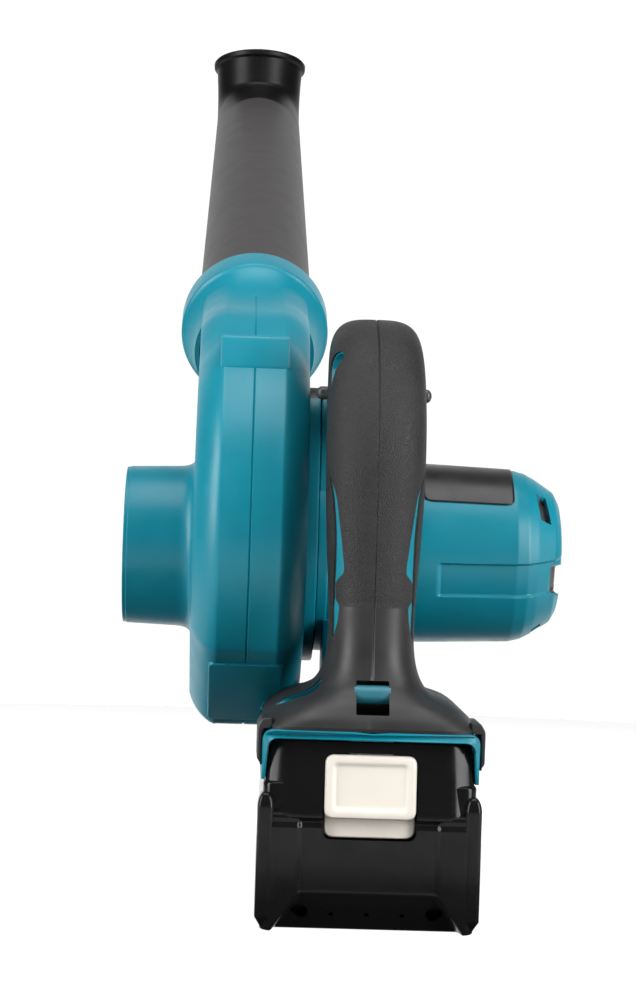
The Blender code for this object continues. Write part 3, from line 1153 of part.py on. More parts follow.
def inlet_grille():
    """The finger guard in the inlet: three rings on six spokes."""
    low = INLET_END_X + 0.0120
    high = low + 0.0030
    rim = tube_ring("inlet_grille", low, high, INLET_BORE - CLEARANCE, INLET_BORE - 0.0022, DARK_PLASTIC,
                    30)
    rings = [tube_ring("grille_ring_middle", low + 0.0002, high - 0.0002, 0.0175, 0.0159, None, 18),
             tube_ring("grille_ring_small", low + 0.0002, high - 0.0002, 0.0092, 0.0040, None, 12)]
    spokes = bpy.data.meshes.new("grille_spokes")
    work = bmesh.new()
    for i in range(6):
        turn = Matrix.Translation(MOTOR) @ Matrix.Rotation(2 * math.pi * i / 6, 4, "X")
        size = (0.0020, 0.0016, INLET_BORE - 0.0013 - 0.0065)
        centre = ((low + high) / 2, 0.0, 0.0065 + size[2] / 2)
        made = bmesh.ops.create_cube(work, size=1.0)
        bmesh.ops.transform(work, matrix=turn @ Matrix.Translation(centre) @ Matrix.Diagonal((*size, 1.0)),
                            verts=made["verts"])
    work.to_mesh(spokes)
    work.free()
    join_to(rim, place("grille_spokes", spokes), *rings)


def nozzle():
    """The long tapered nozzle with its upturned, flared end."""
    start = OUTLET_END - NOZZLE_INSERTION
    straight_end = start + NOZZLE_LENGTH
    stops = (0.0, 0.03, 0.12, 0.22, 0.29, NOZZLE_LENGTH)
    points = [OUTLET + ALONG * (start + along) for along in stops]
    radii = [NOZZLE_ROOT_RADIUS + (NOZZLE_TIP_RADIUS - NOZZLE_ROOT_RADIUS) * along / NOZZLE_LENGTH
             for along in stops]
    corner = OUTLET + ALONG * straight_end
    bend_steps = 5
    for step in range(1, bend_steps + 1):
        turn = NOZZLE_BEND * step / bend_steps
        points.append(corner + ALONG * (NOZZLE_BEND_RADIUS * math.sin(turn))
                      + ACROSS * (NOZZLE_BEND_RADIUS * (1 - math.cos(turn))))
        radii.append(NOZZLE_TIP_RADIUS + 0.0004 * step / bend_steps)
    onward = ALONG * math.cos(NOZZLE_BEND) + ACROSS * math.sin(NOZZLE_BEND)
    bend_end = points[-1]
    for reach, radius in ((NOZZLE_END_LENGTH * 0.45, 0.0216), (NOZZLE_END_LENGTH * 0.80, 0.0222),
                          (NOZZLE_END_LENGTH * 0.88, NOZZLE_LIP_RADIUS),
                          (NOZZLE_END_LENGTH, NOZZLE_LIP_RADIUS)):
        points.append(bend_end + onward * reach)
        radii.append(radius)
    tube = swept_tube("nozzle", points, 1.0, GREY_PLASTIC, resolution=4, radii=radii, caps=False)
    shell = tube.modifiers.new("wall", "SOLIDIFY")
    shell.thickness = NOZZLE_WALL
    shell.offset = -1.0
    shell.use_even_offset = True
    carried_by("nozzle_axis", OUTLET + ALONG * start, [tube])


def build():
    """Make every piece of the blower."""
    empty_scene()
    battery_names = battery_pieces()
    housing()
    controls()
    wiring()
    motor()
    volute()
    nozzle()
    carried_by("battery_axis", (0.0, 0.0, 0.0), [bpy.data.objects[name] for name in battery_names])


build()
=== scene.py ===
"""The looks of a cordless leaf blower that stands on its battery.

Metres, +Z up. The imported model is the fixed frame: every sub-assembly here takes its places from it
and rides on one of its bodies. A shape is a grid of points worked out with numpy, as a turned
profile, a loft through outlines or a sheet over two parameters, and modifiers only finish it.
"""

import json
import logging
import math
from dataclasses import dataclass, field
from enum import Enum

import bmesh
import bpy
import numpy as np
from mathutils import Matrix, Vector


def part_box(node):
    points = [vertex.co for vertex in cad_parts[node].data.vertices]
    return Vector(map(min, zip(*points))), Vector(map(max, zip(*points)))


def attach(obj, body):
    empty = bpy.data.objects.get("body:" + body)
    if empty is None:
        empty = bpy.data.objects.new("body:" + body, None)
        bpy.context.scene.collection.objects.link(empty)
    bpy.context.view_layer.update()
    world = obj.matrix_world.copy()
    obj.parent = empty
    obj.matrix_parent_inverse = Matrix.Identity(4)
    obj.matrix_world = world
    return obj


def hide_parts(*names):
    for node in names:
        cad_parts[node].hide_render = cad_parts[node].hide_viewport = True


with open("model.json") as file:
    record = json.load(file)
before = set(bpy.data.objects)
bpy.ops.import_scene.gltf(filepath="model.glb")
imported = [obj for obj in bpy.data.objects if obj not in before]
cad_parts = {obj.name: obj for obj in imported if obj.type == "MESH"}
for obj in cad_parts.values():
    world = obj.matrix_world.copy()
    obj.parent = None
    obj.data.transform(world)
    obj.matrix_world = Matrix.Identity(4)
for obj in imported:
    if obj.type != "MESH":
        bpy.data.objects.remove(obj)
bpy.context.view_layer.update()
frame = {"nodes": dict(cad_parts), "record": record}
LOG = logging.getLogger("leaf_blower")
MM = 0.001
Array = np.ndarray
Object = bpy.types.Object


# ================================================================ finishes
class Pattern(Enum):
    """The fine structure that a finish carries."""

    MOULDED = "spark-eroded mould texture"
    SPECKLED = "coarse leathery speckle"
    POLISHED = "polish with hairline scratches"
    DRAWN = "lines of drawn or turned metal"


@dataclass(frozen=True)
class Finish:
    """A surface finish, and the recipe for its procedural material.

    Attributes:
        name: The material's name.
        colour: Linear base colour.
        roughness: Mean roughness.
        slot: The record's material slot that it stands for.
        pattern: The kind of fine structure.
        metallic: Metallic value.
        grain: Size of the fine structure, in metres.
        relief: Height of the fine structure, in metres.
        mottle: How far the colour wanders, as a share of it.
        wander: How far the roughness wanders.
        coat: Weight of a clear coat.
        specular: Specular level; 0.5 is the common one.
    """

    name: str
    colour: tuple[float, float, float]
    roughness: float
    slot: str
    pattern: Pattern = Pattern.MOULDED
    metallic: float = 0.0
    grain: float = 0.5 * MM
    relief: float = 0.01 * MM
    mottle: float = 0.06
    wander: float = 0.06
    coat: float = 0.0
    specular: float = 0.5

    def material(self) -> bpy.types.Material:
        """Make the finish's node material, once.

        Returns:
            The material.
        """
        made = bpy.data.materials.get(self.name)
        if made is not None:
            return made
        made = bpy.data.materials.new(self.name)
        made.use_nodes = True
        tree = made.node_tree
        shader = tree.nodes["Principled BSDF"]
        shader.inputs["Metallic"].default_value = self.metallic
        shader.inputs["Coat Weight"].default_value = self.coat
        shader.inputs["Specular IOR Level"].default_value = self.specular
        shader.inputs["Coat Roughness"].default_value = 0.08
        place = tree.nodes.new("ShaderNodeTexCoord").outputs["Object"]
        cloud = self._noise(tree, place, 1 / (18 * MM), 3.0)
        self._colour(tree, shader, cloud)
        self._roughness(tree, shader, place)
        self._relief(tree, shader, place)
        return made

    def _noise(self, tree: bpy.types.NodeTree, place: bpy.types.NodeSocket, scale: float,
               detail: float) -> bpy.types.NodeSocket:
        """Add a noise texture.

        Args:
            tree: The node tree.
            place: The coordinates that it reads.
            scale: Cells in a metre.
            detail: Octaves.

        Returns:
            The noise's value, about 0.5 in the mean.
        """
        noise = tree.nodes.new("ShaderNodeTexNoise")
        noise.inputs["Scale"].default_value = scale
        noise.inputs["Detail"].default_value = detail
        tree.links.new(place, noise.inputs["Vector"])
        return noise.outputs["Fac"]

    def _range(self, tree: bpy.types.NodeTree, value: bpy.types.NodeSocket, source: tuple[float, float],
               target: tuple[float, float]) -> bpy.types.NodeSocket:
        """Map a value from one range to another.

        Args:
            tree: The node tree.
            value: The value.
            source: Its range.
            target: The range that it becomes.

        Returns:
            The mapped value.
        """
        mapped = tree.nodes.new("ShaderNodeMapRange")
        for socket, number in zip(("From Min", "From Max", "To Min", "To Max"), (*source, *target)):
            mapped.inputs[socket].default_value = number
        tree.links.new(value, mapped.inputs["Value"])
        return mapped.outputs["Result"]

    def _colour(self, tree: bpy.types.NodeTree, shader: bpy.types.ShaderNode,
                cloud: bpy.types.NodeSocket) -> None:
        """Let the base colour wander between a darker and a lighter shade of itself."""
        ramp = tree.nodes.new("ShaderNodeValToRGB")
        for stop, place, shade in zip(ramp.color_ramp.elements, (0.32, 0.68),
                                      (1 - self.mottle, 1 + self.mottle)):
            stop.position = place
            stop.color = (*(channel * shade for channel in self.colour), 1.0)
        tree.links.new(cloud, ramp.inputs["Fac"])
        tree.links.new(ramp.outputs["Color"], shader.inputs["Base Color"])

    def _roughness(self, tree: bpy.types.NodeTree, shader: bpy.types.ShaderNode,
                   place: bpy.types.NodeSocket) -> None:
        """Let the roughness wander, as handled plastic does."""
        smear = self._noise(tree, place, 1 / (9 * MM), 4.0)
        spread = (max(0.02, self.roughness - self.wander), min(1.0, self.roughness + self.wander))
        tree.links.new(self._range(tree, smear, (0.3, 0.7), spread), shader.inputs["Roughness"])

    def _relief(self, tree: bpy.types.NodeTree, shader: bpy.types.ShaderNode,
                place: bpy.types.NodeSocket) -> None:
        """Add the fine structure as bump: noise, a speckle of cells, or noise drawn out into lines."""
        bump = tree.nodes.new("ShaderNodeBump")
        bump.inputs["Strength"].default_value = 1.0
        bump.inputs["Distance"].default_value = self.relief
        if self.pattern is Pattern.SPECKLED:
            cells = tree.nodes.new("ShaderNodeTexVoronoi")
            cells.inputs["Scale"].default_value = 1 / self.grain
            cells.inputs["Randomness"].default_value = 1.0
            tree.links.new(place, cells.inputs["Vector"])
            height = self._range(tree, cells.outputs["Distance"], (0.05, 0.75), (0.0, 1.0))
        elif self.pattern in (Pattern.DRAWN, Pattern.POLISHED):
            stretch = tree.nodes.new("ShaderNodeMapping")
            stretch.inputs["Scale"].default_value = (0.08, 1.0, 1.0)
            stretch.inputs["Rotation"].default_value = (0.2, 0.4, 0.3)
            tree.links.new(place, stretch.inputs["Vector"])
            height = self._noise(tree, stretch.outputs["Vector"], 1 / self.grain, 2.0)
        else:
            height = self._noise(tree, place, 1 / self.grain, 2.0)
        tree.links.new(height, bump.inputs["Height"])
        tree.links.new(bump.outputs["Normal"], shader.inputs["Normal"])


TEAL = Finish("teal_moulded_shell", (0.0018, 0.143, 0.194), 0.36, "teal_shell", grain=0.35 * MM,
              relief=0.012 * MM,
              mottle=0.04, wander=0.05, specular=0.26)
# Painted shade: a darker copy of the shell's teal, worn by the strap's bar and the teardrops' floors where
# shade falls.
TEAL_PAINTED_SHADE = Finish("teal_painted_shade", (0.004, 0.085, 0.115), 0.45, "teal_shell", grain=0.35 * MM,
                   relief=0.012 * MM)
RUBBER = Finish("speckled_soft_grip", (0.0125, 0.0120, 0.0121), 0.50, "soft_grip", Pattern.SPECKLED,
                grain=0.55 * MM,
                relief=0.15 * MM, mottle=0.16, wander=0.08, specular=0.22)
RUBBER_SMOOTH = Finish("smooth_soft_grip", (0.0125, 0.0118, 0.012), 0.46, "soft_grip", grain=0.4 * MM,
                       relief=0.012 * MM, mottle=0.08, specular=0.3)
TUBE = Finish("nozzle_semi_matte", (0.026, 0.024, 0.0248), 0.44, "nozzle_grey", grain=0.6 * MM,
              relief=0.015 * MM,
              mottle=0.04, wander=0.02, specular=0.3)
# Painted shade: a darker copy of the nozzle's grey, over the last stretch of the straight, the bend and the
# flared end.
TUBE_PAINTED_SHADE = Finish("nozzle_painted_shade", (0.0025, 0.0024, 0.0025), 0.38, "nozzle_grey", grain=0.5 * MM, relief=0.015 * MM,
             mottle=0.06, wander=0.03, specular=0.12)
GLOSS = Finish("battery_gloss_black", (0.0045, 0.0045, 0.0048), 0.16, "battery_gloss", Pattern.POLISHED,
               grain=0.5 * MM, relief=0.0015 * MM, mottle=0.04, wander=0.05, specular=0.15)
IVORY = Finish("ivory_button", (0.50, 0.465, 0.415), 0.42, "ivory", grain=0.4 * MM, relief=0.008 * MM,
               mottle=0.02,
               wander=0.05)
DARK = Finish("dark_moulded_plastic", (0.020, 0.020, 0.022), 0.45, "dark_plastic", grain=0.4 * MM,
              relief=0.012 * MM, mottle=0.06)
LABEL = Finish("blank_label_foil", (0.006, 0.006, 0.0065), 0.34, "label", Pattern.POLISHED, grain=0.6 * MM,
               relief=0.004 * MM, mottle=0.05, specular=0.3)
STEEL = Finish("zinc_plated_steel", (0.55, 0.55, 0.57), 0.32, "steel", Pattern.DRAWN, metallic=1.0,
               grain=0.3 * MM, relief=0.006 * MM, mottle=0.05, wander=0.08)
COPPER = Finish("winding_copper", (0.70, 0.33, 0.17), 0.38, "copper", Pattern.DRAWN, metallic=1.0,
                grain=0.4 * MM, relief=0.03 * MM, mottle=0.10)
FERRITE = Finish("sintered_ferrite", (0.055, 0.055, 0.060), 0.66, "ferrite", grain=0.3 * MM, relief=0.02 * MM,
                 mottle=0.12)
SLEEVE = Finish("cell_shrink_sleeve", (0.06, 0.24, 0.11), 0.35, "cell_wrap", grain=2 * MM, relief=0.02 * MM,
                mottle=0.05, coat=0.2)
BOARD = Finish("solder_mask", (0.015, 0.13, 0.055), 0.42, "board", grain=0.8 * MM, relief=0.01 * MM,
               mottle=0.10)
WIRE_RED = Finish("red_insulation", (0.45, 0.018, 0.015), 0.45, "wire_red", relief=0.01 * MM)
WIRE_BLACK = Finish("black_insulation", (0.012, 0.012, 0.013), 0.45, "wire_black", relief=0.01 * MM)
FINISHES = (TEAL, RUBBER, TUBE, GLOSS, IVORY, DARK, LABEL, STEEL, COPPER, FERRITE, SLEEVE, BOARD, WIRE_RED,
            WIRE_BLACK)


# ================================================================ shapes worked out as arrays
def turned_round(axis: Vector) -> tuple[Array, Array, Array]:
    """Three directions at right angles, the last along an axis.

    Args:
        axis: The axis.

    Returns:
        Two directions across the axis, and the axis itself.
    """
    turn = Vector((0, 0, 1)).rotation_difference(axis).to_matrix()
    return tuple(np.array(turn @ Vector(step)) for step in ((1, 0, 0), (0, 1, 0), (0, 0, 1)))


def filleted(corners: list[tuple[float, float, float]], steps: int = 6, closed: bool = False) -> Array:
    """Round the corners of a polyline.

    Each corner (a, b, radius) becomes an arc: a quadratic curve from a point one radius before the
    corner to a point one radius after it, with the corner as its middle control point.

    Args:
        corners: The corners and their radii.
        steps: Points on each arc, less one.
        closed: Whether the last corner joins the first.

    Returns:
        The rounded line's points, as [n, 2].
    """
    flat = np.array([corner[:2] for corner in corners], float)
    line = []
    for i, (_, _, radius) in enumerate(corners):
        ends = not closed and i in (0, len(corners) - 1)
        if ends or radius == 0:
            line.append(flat[i][None])
            continue
        before, after = flat[i - 1] - flat[i], flat[(i + 1) % len(flat)] - flat[i]
        start = flat[i] + before / np.linalg.norm(before) * min(radius, np.linalg.norm(before) * 0.5)
        end = flat[i] + after / np.linalg.norm(after) * min(radius, np.linalg.norm(after) * 0.5)
        t = np.linspace(0, 1, steps + 1)[:, None]
        line.append((1 - t) ** 2 * start + 2 * t * (1 - t) * flat[i] + t ** 2 * end)
    return np.concatenate(line)


def sheet_mesh(name: str, points: Array, wrap: tuple[bool, bool] = (False, True), caps: bool = True,
               sharp: float = 32.0) -> Object:
    """Make an object from a grid of points.

    Neighbouring rows and columns are joined with quads; a wrapped side joins its last line to its
    first, and the first and last rows are capped where they don't wrap.

    Args:
        name: The object's name.
        points: The grid, as [rows, columns, 3].
        wrap: Whether the rows, and the columns, close on themselves.
        caps: Whether the first and last rows are closed with a face.
        sharp: Edges that bend by more degrees than this are sharp.

    Returns:
        The object.
    """
    rows, columns = points.shape[:2]
    index = np.arange(rows * columns).reshape(rows, columns)
    down = np.vstack([index, index[:1]]) if wrap[0] else index
    grid = np.hstack([down, down[:, :1]]) if wrap[1] else down
    quads = np.stack([grid[:-1, :-1], grid[:-1, 1:], grid[1:, 1:], grid[1:, :-1]], -1).reshape(-1, 4)
    faces = quads.tolist()
    if caps and wrap[1] and not wrap[0]:
        faces += [index[0, ::-1].tolist(), index[-1].tolist()]
    mesh = bpy.data.meshes.new(name)
    mesh.from_pydata(points.reshape(-1, 3).tolist(), [], faces)
    made = bpy.data.objects.new(name, mesh)
    bpy.context.scene.collection.objects.link(made)
    clean(made, sharp)
    return made


def clean(thing: Object, sharp: float = 32.0) -> Object:
    """Merge doubled points, turn the faces outwards and mark the sharp edges.

    Args:
        thing: The object.
        sharp: Edges that bend by more degrees than this are sharp.

    Returns:
        The same object.
    """
    work = bmesh.new()
    work.from_mesh(thing.data)
    bmesh.ops.remove_doubles(work, verts=work.verts[:], dist=2e-6)
    bmesh.ops.dissolve_degenerate(work, edges=work.edges[:], dist=1e-7)
    bmesh.ops.recalc_face_normals(work, faces=work.faces[:])
    work.to_mesh(thing.data)
    work.free()
    thing.data.shade_smooth()
    thing.data.set_sharp_from_angle(angle=math.radians(sharp))
    return thing


def lathe(name: str, profile: Array, origin: Vector, axis: Vector, steps: int = 128,
          ring: bool = False) -> Object:
    """Turn a profile round an axis.

    A point (height, radius) at angle a lies at origin + height * axis + radius * (cos a, sin a) across.

    Args:
        name: The object's name.
        profile: The profile's points, as [n, 2].
        origin: Where the height is 0.
        axis: The axis.
        steps: Points round the axis.
        ring: Whether the profile is a closed outline that stays off the axis.

    Returns:
        The object.
    """
    right, up, onward = turned_round(axis)
    angle = np.linspace(0, 2 * np.pi, steps, endpoint=False)
    across = np.cos(angle)[:, None] * right + np.sin(angle)[:, None] * up
    points = (np.array(origin) + profile[:, None, :1] * onward + profile[:, None, 1:] * across[None])
    return sheet_mesh(name, points, (ring, True), not ring)


def slab(name: str, outline: Array, levels: Array, insets: Array,
         axes: tuple[int, int, int] = (0, 1, 2)) -> Object:
    """Stack an outline along an axis, drawn in towards its middle by an inset at each level.

    Args:
        name: The object's name.
        outline: Closed outline, as [n, 2].
        levels: Places along the stacking axis.
        insets: How far the outline is drawn in along its own normals at each level.
        axes: Which axes take the outline's two values and the level.

    Returns:
        The object.
    """
    before, after = np.roll(outline, 1, 0), np.roll(outline, -1, 0)
    tangent = after - before
    normal = np.stack([tangent[:, 1], -tangent[:, 0]], -1)
    normal /= np.linalg.norm(normal, axis=1)[:, None] + 1e-12
    area = np.sum(outline[:, 0] * after[:, 1] - after[:, 0] * outline[:, 1])
    normal *= np.sign(area)
    points = np.zeros((len(levels), len(outline), 3))
    points[..., axes[0]] = outline[None, :, 0] - insets[:, None] * normal[None, :, 0]
    points[..., axes[1]] = outline[None, :, 1] - insets[:, None] * normal[None, :, 1]
    points[..., axes[2]] = levels[:, None]
    return sheet_mesh(name, points)


def block(name: str, low: tuple[float, float, float], high: tuple[float, float, float], corner: float,
          edge: float = 0.0, axis: int = 2, steps: int = 8) -> Object:
    """A box with rounded corners round one axis and rolled edges at both ends of it.

    Args:
        name: The object's name.
        low: Lowest corner.
        high: Highest corner.
        corner: Radius of the four edges along the axis.
        edge: Radius of the edges at both ends.
        axis: The axis.
        steps: Points on an arc.

    Returns:
        The object.
    """
    one, two = [i for i in range(3) if i != axis]
    corners = [(low[one], low[two], corner), (high[one], low[two], corner),
               (high[one], high[two], corner), (low[one], high[two], corner)]
    outline = filleted(corners, steps, closed=True)
    turn = np.linspace(0, np.pi / 2, 5) if edge else np.zeros(1)
    inset = edge * (1 - np.sin(turn))
    rise = edge * (1 - np.cos(turn))
    levels = np.concatenate([low[axis] + rise, (high[axis] - rise)[::-1]])
    return slab(name, outline, levels, np.concatenate([inset, inset[::-1]]), (one, two, axis))


def belt(circles: list[tuple[float, float, float]], steps: int = 60) -> Array:
    """The outline of a belt round two circles (a, b, radius): two arcs that share their tangents.

    Args:
        circles: The larger and the smaller circle.
        steps: Points on each arc.

    Returns:
        The closed outline, as [n, 2].
    """
    (xa, ya, ra), (xb, yb, rb) = circles
    gap = math.hypot(xb - xa, yb - ya)
    heading = math.atan2(yb - ya, xb - xa)
    lean = math.acos((ra - rb) / gap)
    first = np.linspace(heading + lean, heading + 2 * math.pi - lean, steps)
    second = np.linspace(heading - lean, heading + lean, steps)
    return np.concatenate([np.stack([xa + ra * np.cos(first), ya + ra * np.sin(first)], -1),
                           np.stack([xb + rb * np.cos(second), yb + rb * np.sin(second)], -1)])


def carve(thing: Object, *tools: Object, operation: str = "DIFFERENCE") -> Object:
    """Cut tools out of an object, or join them to it, and throw the tools away.

    Args:
        thing: The object.
        tools: The cutting shapes.
        operation: The Boolean's operation.

    Returns:
        The same object with its new mesh.
    """
    for tool in tools:
        cut = thing.modifiers.new(tool.name, "BOOLEAN")
        cut.object = tool
        cut.operation = operation
        cut.solver = "EXACT"
        bpy.context.view_layer.update()
        mesh = bpy.data.meshes.new_from_object(thing.evaluated_get(bpy.context.evaluated_depsgraph_get()))
        thing.modifiers.clear()
        thing.data = mesh
        bpy.data.objects.remove(tool, do_unlink=True)
    return clean(thing)


def dress(thing: Object, body: str, *finishes: Finish, replaces: tuple[str, ...] = ()) -> Object:
    """Give a finished piece its materials, its body and the CAD nodes that it stands for.

    Args:
        thing: The piece.
        body: The body that it rides on.
        finishes: One finish for each material index.
        replaces: CAD nodes that it stands for.

    Returns:
        The same piece.
    """
    for finish in finishes:
        thing.data.materials.append(finish.material())
    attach(thing, body)
    if replaces:
        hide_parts(*replaces)
    LOG.info("%s rides on %s, %d faces", thing.name, body, len(thing.data.polygons))
    return thing


def paint(thing: Object, chosen: Array, index: int) -> Object:
    """Give the chosen faces another material index.

    Args:
        thing: The piece.
        chosen: True for each face that changes, in the order of the mesh.
        index: The material index.

    Returns:
        The same piece.
    """
    current = np.zeros(len(thing.data.polygons), np.int32)
    thing.data.polygons.foreach_get("material_index", current)
    current[chosen] = index
    thing.data.polygons.foreach_set("material_index", current)
    return thing


def centres(thing: Object) -> Array:
    """The middle of every face, as [n, 3]."""
    flat = np.zeros(len(thing.data.polygons) * 3)
    thing.data.polygons.foreach_get("center", flat)
    return flat.reshape(-1, 3)


def smooth_step(value: Array, start: float, end: float) -> Array:
    """0 before the start, 1 after the end, and a soft S between them."""
    t = np.clip((value - start) / (end - start), 0, 1)
    return t * t * (3 - 2 * t)


def flat_top(value: Array, low: float, high: float, soft: float) -> Array:
    """1 between two values and 0 outside them, with soft flanks inside the two values."""
    return smooth_step(value, low, low + soft) * (1 - smooth_step(value, high - soft, high))


# ================================================================ places that come from the frame
@dataclass(frozen=True)
class Datum:
    """The places that the sub-assemblies share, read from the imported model.

    Attributes:
        motor: The motor's axis, at X = 0.
        foot: Height of the foot's underside.
        half_length: Half the battery's length.
        along: Direction of the outlet.
        across: Direction up from the outlet, at a right angle to it.
        outlet: Where the outlet's axis passes over the motor's axis.
    """

    motor: Vector
    foot: float
    half_length: float
    along: Vector
    across: Vector
    outlet: Vector

    @classmethod
    def read(cls) -> "Datum":
        """Read the shared places from the frame's nodes, its record and its joints.

        Returns:
            The datum.
        """
        low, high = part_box("motor_shaft")
        case_low, case_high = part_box("battery_upper_case")
        slide = next(joint for joint in frame["record"]["behaviour"]["joints"]
                     if joint["name"] == "nozzle_pull")
        along = Vector(slide["axis"]).normalized()
        across = Vector((0.0, -along.z, along.y))
        motor = Vector((0.0, (low.y + high.y) / 2, (low.z + high.z) / 2))
        left_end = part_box("volute_left")[1].x
        right_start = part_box("volute_right")[0].x
        split = (left_end + right_start) / 2
        rise = 55.6 * MM
        outlet = Vector((split, motor.y, motor.z)) + across * rise
        return cls(motor, case_high.z + 0.7 * MM, (case_high.y - case_low.y) / 2, along, across, outlet)


# ================================================================ nozzle
@dataclass
class Nozzle:
    """The long nozzle: a tapered tube, a round bend upwards and a flared end with a rolled lip."""

    datum: Datum
    root: float = 85 * MM
    straight: float = 323 * MM
    bend: float = math.radians(55.3)
    bend_radius: float = 25 * MM
    end: float = 16 * MM
    root_radius: float = 23.35 * MM
    tip_radius: float = 20.8 * MM
    mouth_radius: float = 22.1 * MM
    lip_radius: float = 23.5 * MM
    wall: float = 2.0 * MM
    seam: float = 0.10 * MM

    def centre_line(self, run: Array) -> tuple[Array, Array, Array]:
        """Follow the tube's middle: a straight run, an arc of a circle, and a straight end.

        Args:
            run: Distances along the line from the root.

        Returns:
            The points, the directions along the line, and the directions up from it.
        """
        along, across = np.array(self.datum.along), np.array(self.datum.across)
        arc = self.bend_radius * self.bend
        turn = np.clip((run - self.straight) / self.bend_radius, 0, self.bend)[:, None]
        ahead = np.minimum(run, self.straight)[:, None]
        beyond = np.maximum(run - self.straight - arc, 0)[:, None]
        heading = along * np.cos(turn) + across * np.sin(turn)
        up = across * np.cos(turn) - along * np.sin(turn)
        start = np.array(self.datum.outlet) + along * self.root
        points = (start + along * ahead
                  + self.bend_radius * (along * np.sin(turn) + across * (1 - np.cos(turn)))
                  + heading * beyond)
        return points, heading, up

    def radius(self, run: Array) -> Array:
        """The outer radius: an even taper, a flare that opens with the square of the way, and the lip."""
        arc = self.bend_radius * self.bend
        total = self.straight + arc + self.end
        taper = self.root_radius + (self.tip_radius - self.root_radius) * np.clip(run / self.straight, 0, 1)
        flare = (self.mouth_radius - self.tip_radius) * np.clip((run - self.straight - arc * 0.5)
                                                                / (self.end + arc * 0.5), 0, 1) ** 2
        proud = self.lip_radius - self.mouth_radius
        lip = proud * flat_top(run, total - 3.6 * MM, total + 3 * MM, 1.1 * MM)
        rolled = 0.6 * MM * smooth_step(run, total - 0.7 * MM, total)
        return taper + flare + lip - rolled

    def build(self) -> Object:
        """Carry a circle along the centre line, out along the outside and back along the inside.

        Returns:
            The nozzle.
        """
        arc = self.bend_radius * self.bend
        total = self.straight + arc + self.end
        run = np.concatenate([np.linspace(0, self.straight - 8 * MM, 90),
                              np.linspace(self.straight - 6 * MM, total - 5 * MM, 60),
                              np.linspace(total - 4.4 * MM, total, 26)])
        turn = np.linspace(0, 2 * np.pi, 144, endpoint=False)
        points, heading, up = self.centre_line(run)
        side = np.cross(heading, up)
        seam_line = self.seam * np.exp(-((np.abs(np.sin(turn)) - 1) / 0.0006) ** 2)
        outer = self.radius(run)[:, None] + seam_line[None]
        bore = np.minimum(self.radius(run), self.mouth_radius + 0.4 * MM) - self.wall
        inner = bore[:, None] + 0 * turn[None]
        rings = [points[:, None] + size[..., None] * (np.cos(turn)[None, :, None] * side[:, None]
                                                      + np.sin(turn)[None, :, None] * up[:, None])
                 for size in (outer, inner)]
        tube = sheet_mesh("nozzle_tube", np.concatenate([rings[0], rings[1][::-1]]), (True, True))
        middles = centres(tube)
        # Painted shade: faces past a point 27 mm before the bend take the darker grey, the second material.
        shade_reach = self.root + self.straight - 27 * MM
        shade_start = np.array(self.datum.outlet) + np.array(self.datum.along) * shade_reach
        paint(tube, (middles - shade_start) @ np.array(self.datum.along) > 0, 1)
        return dress(tube, "nozzle", TUBE, TUBE_PAINTED_SHADE, replaces=("nozzle",))


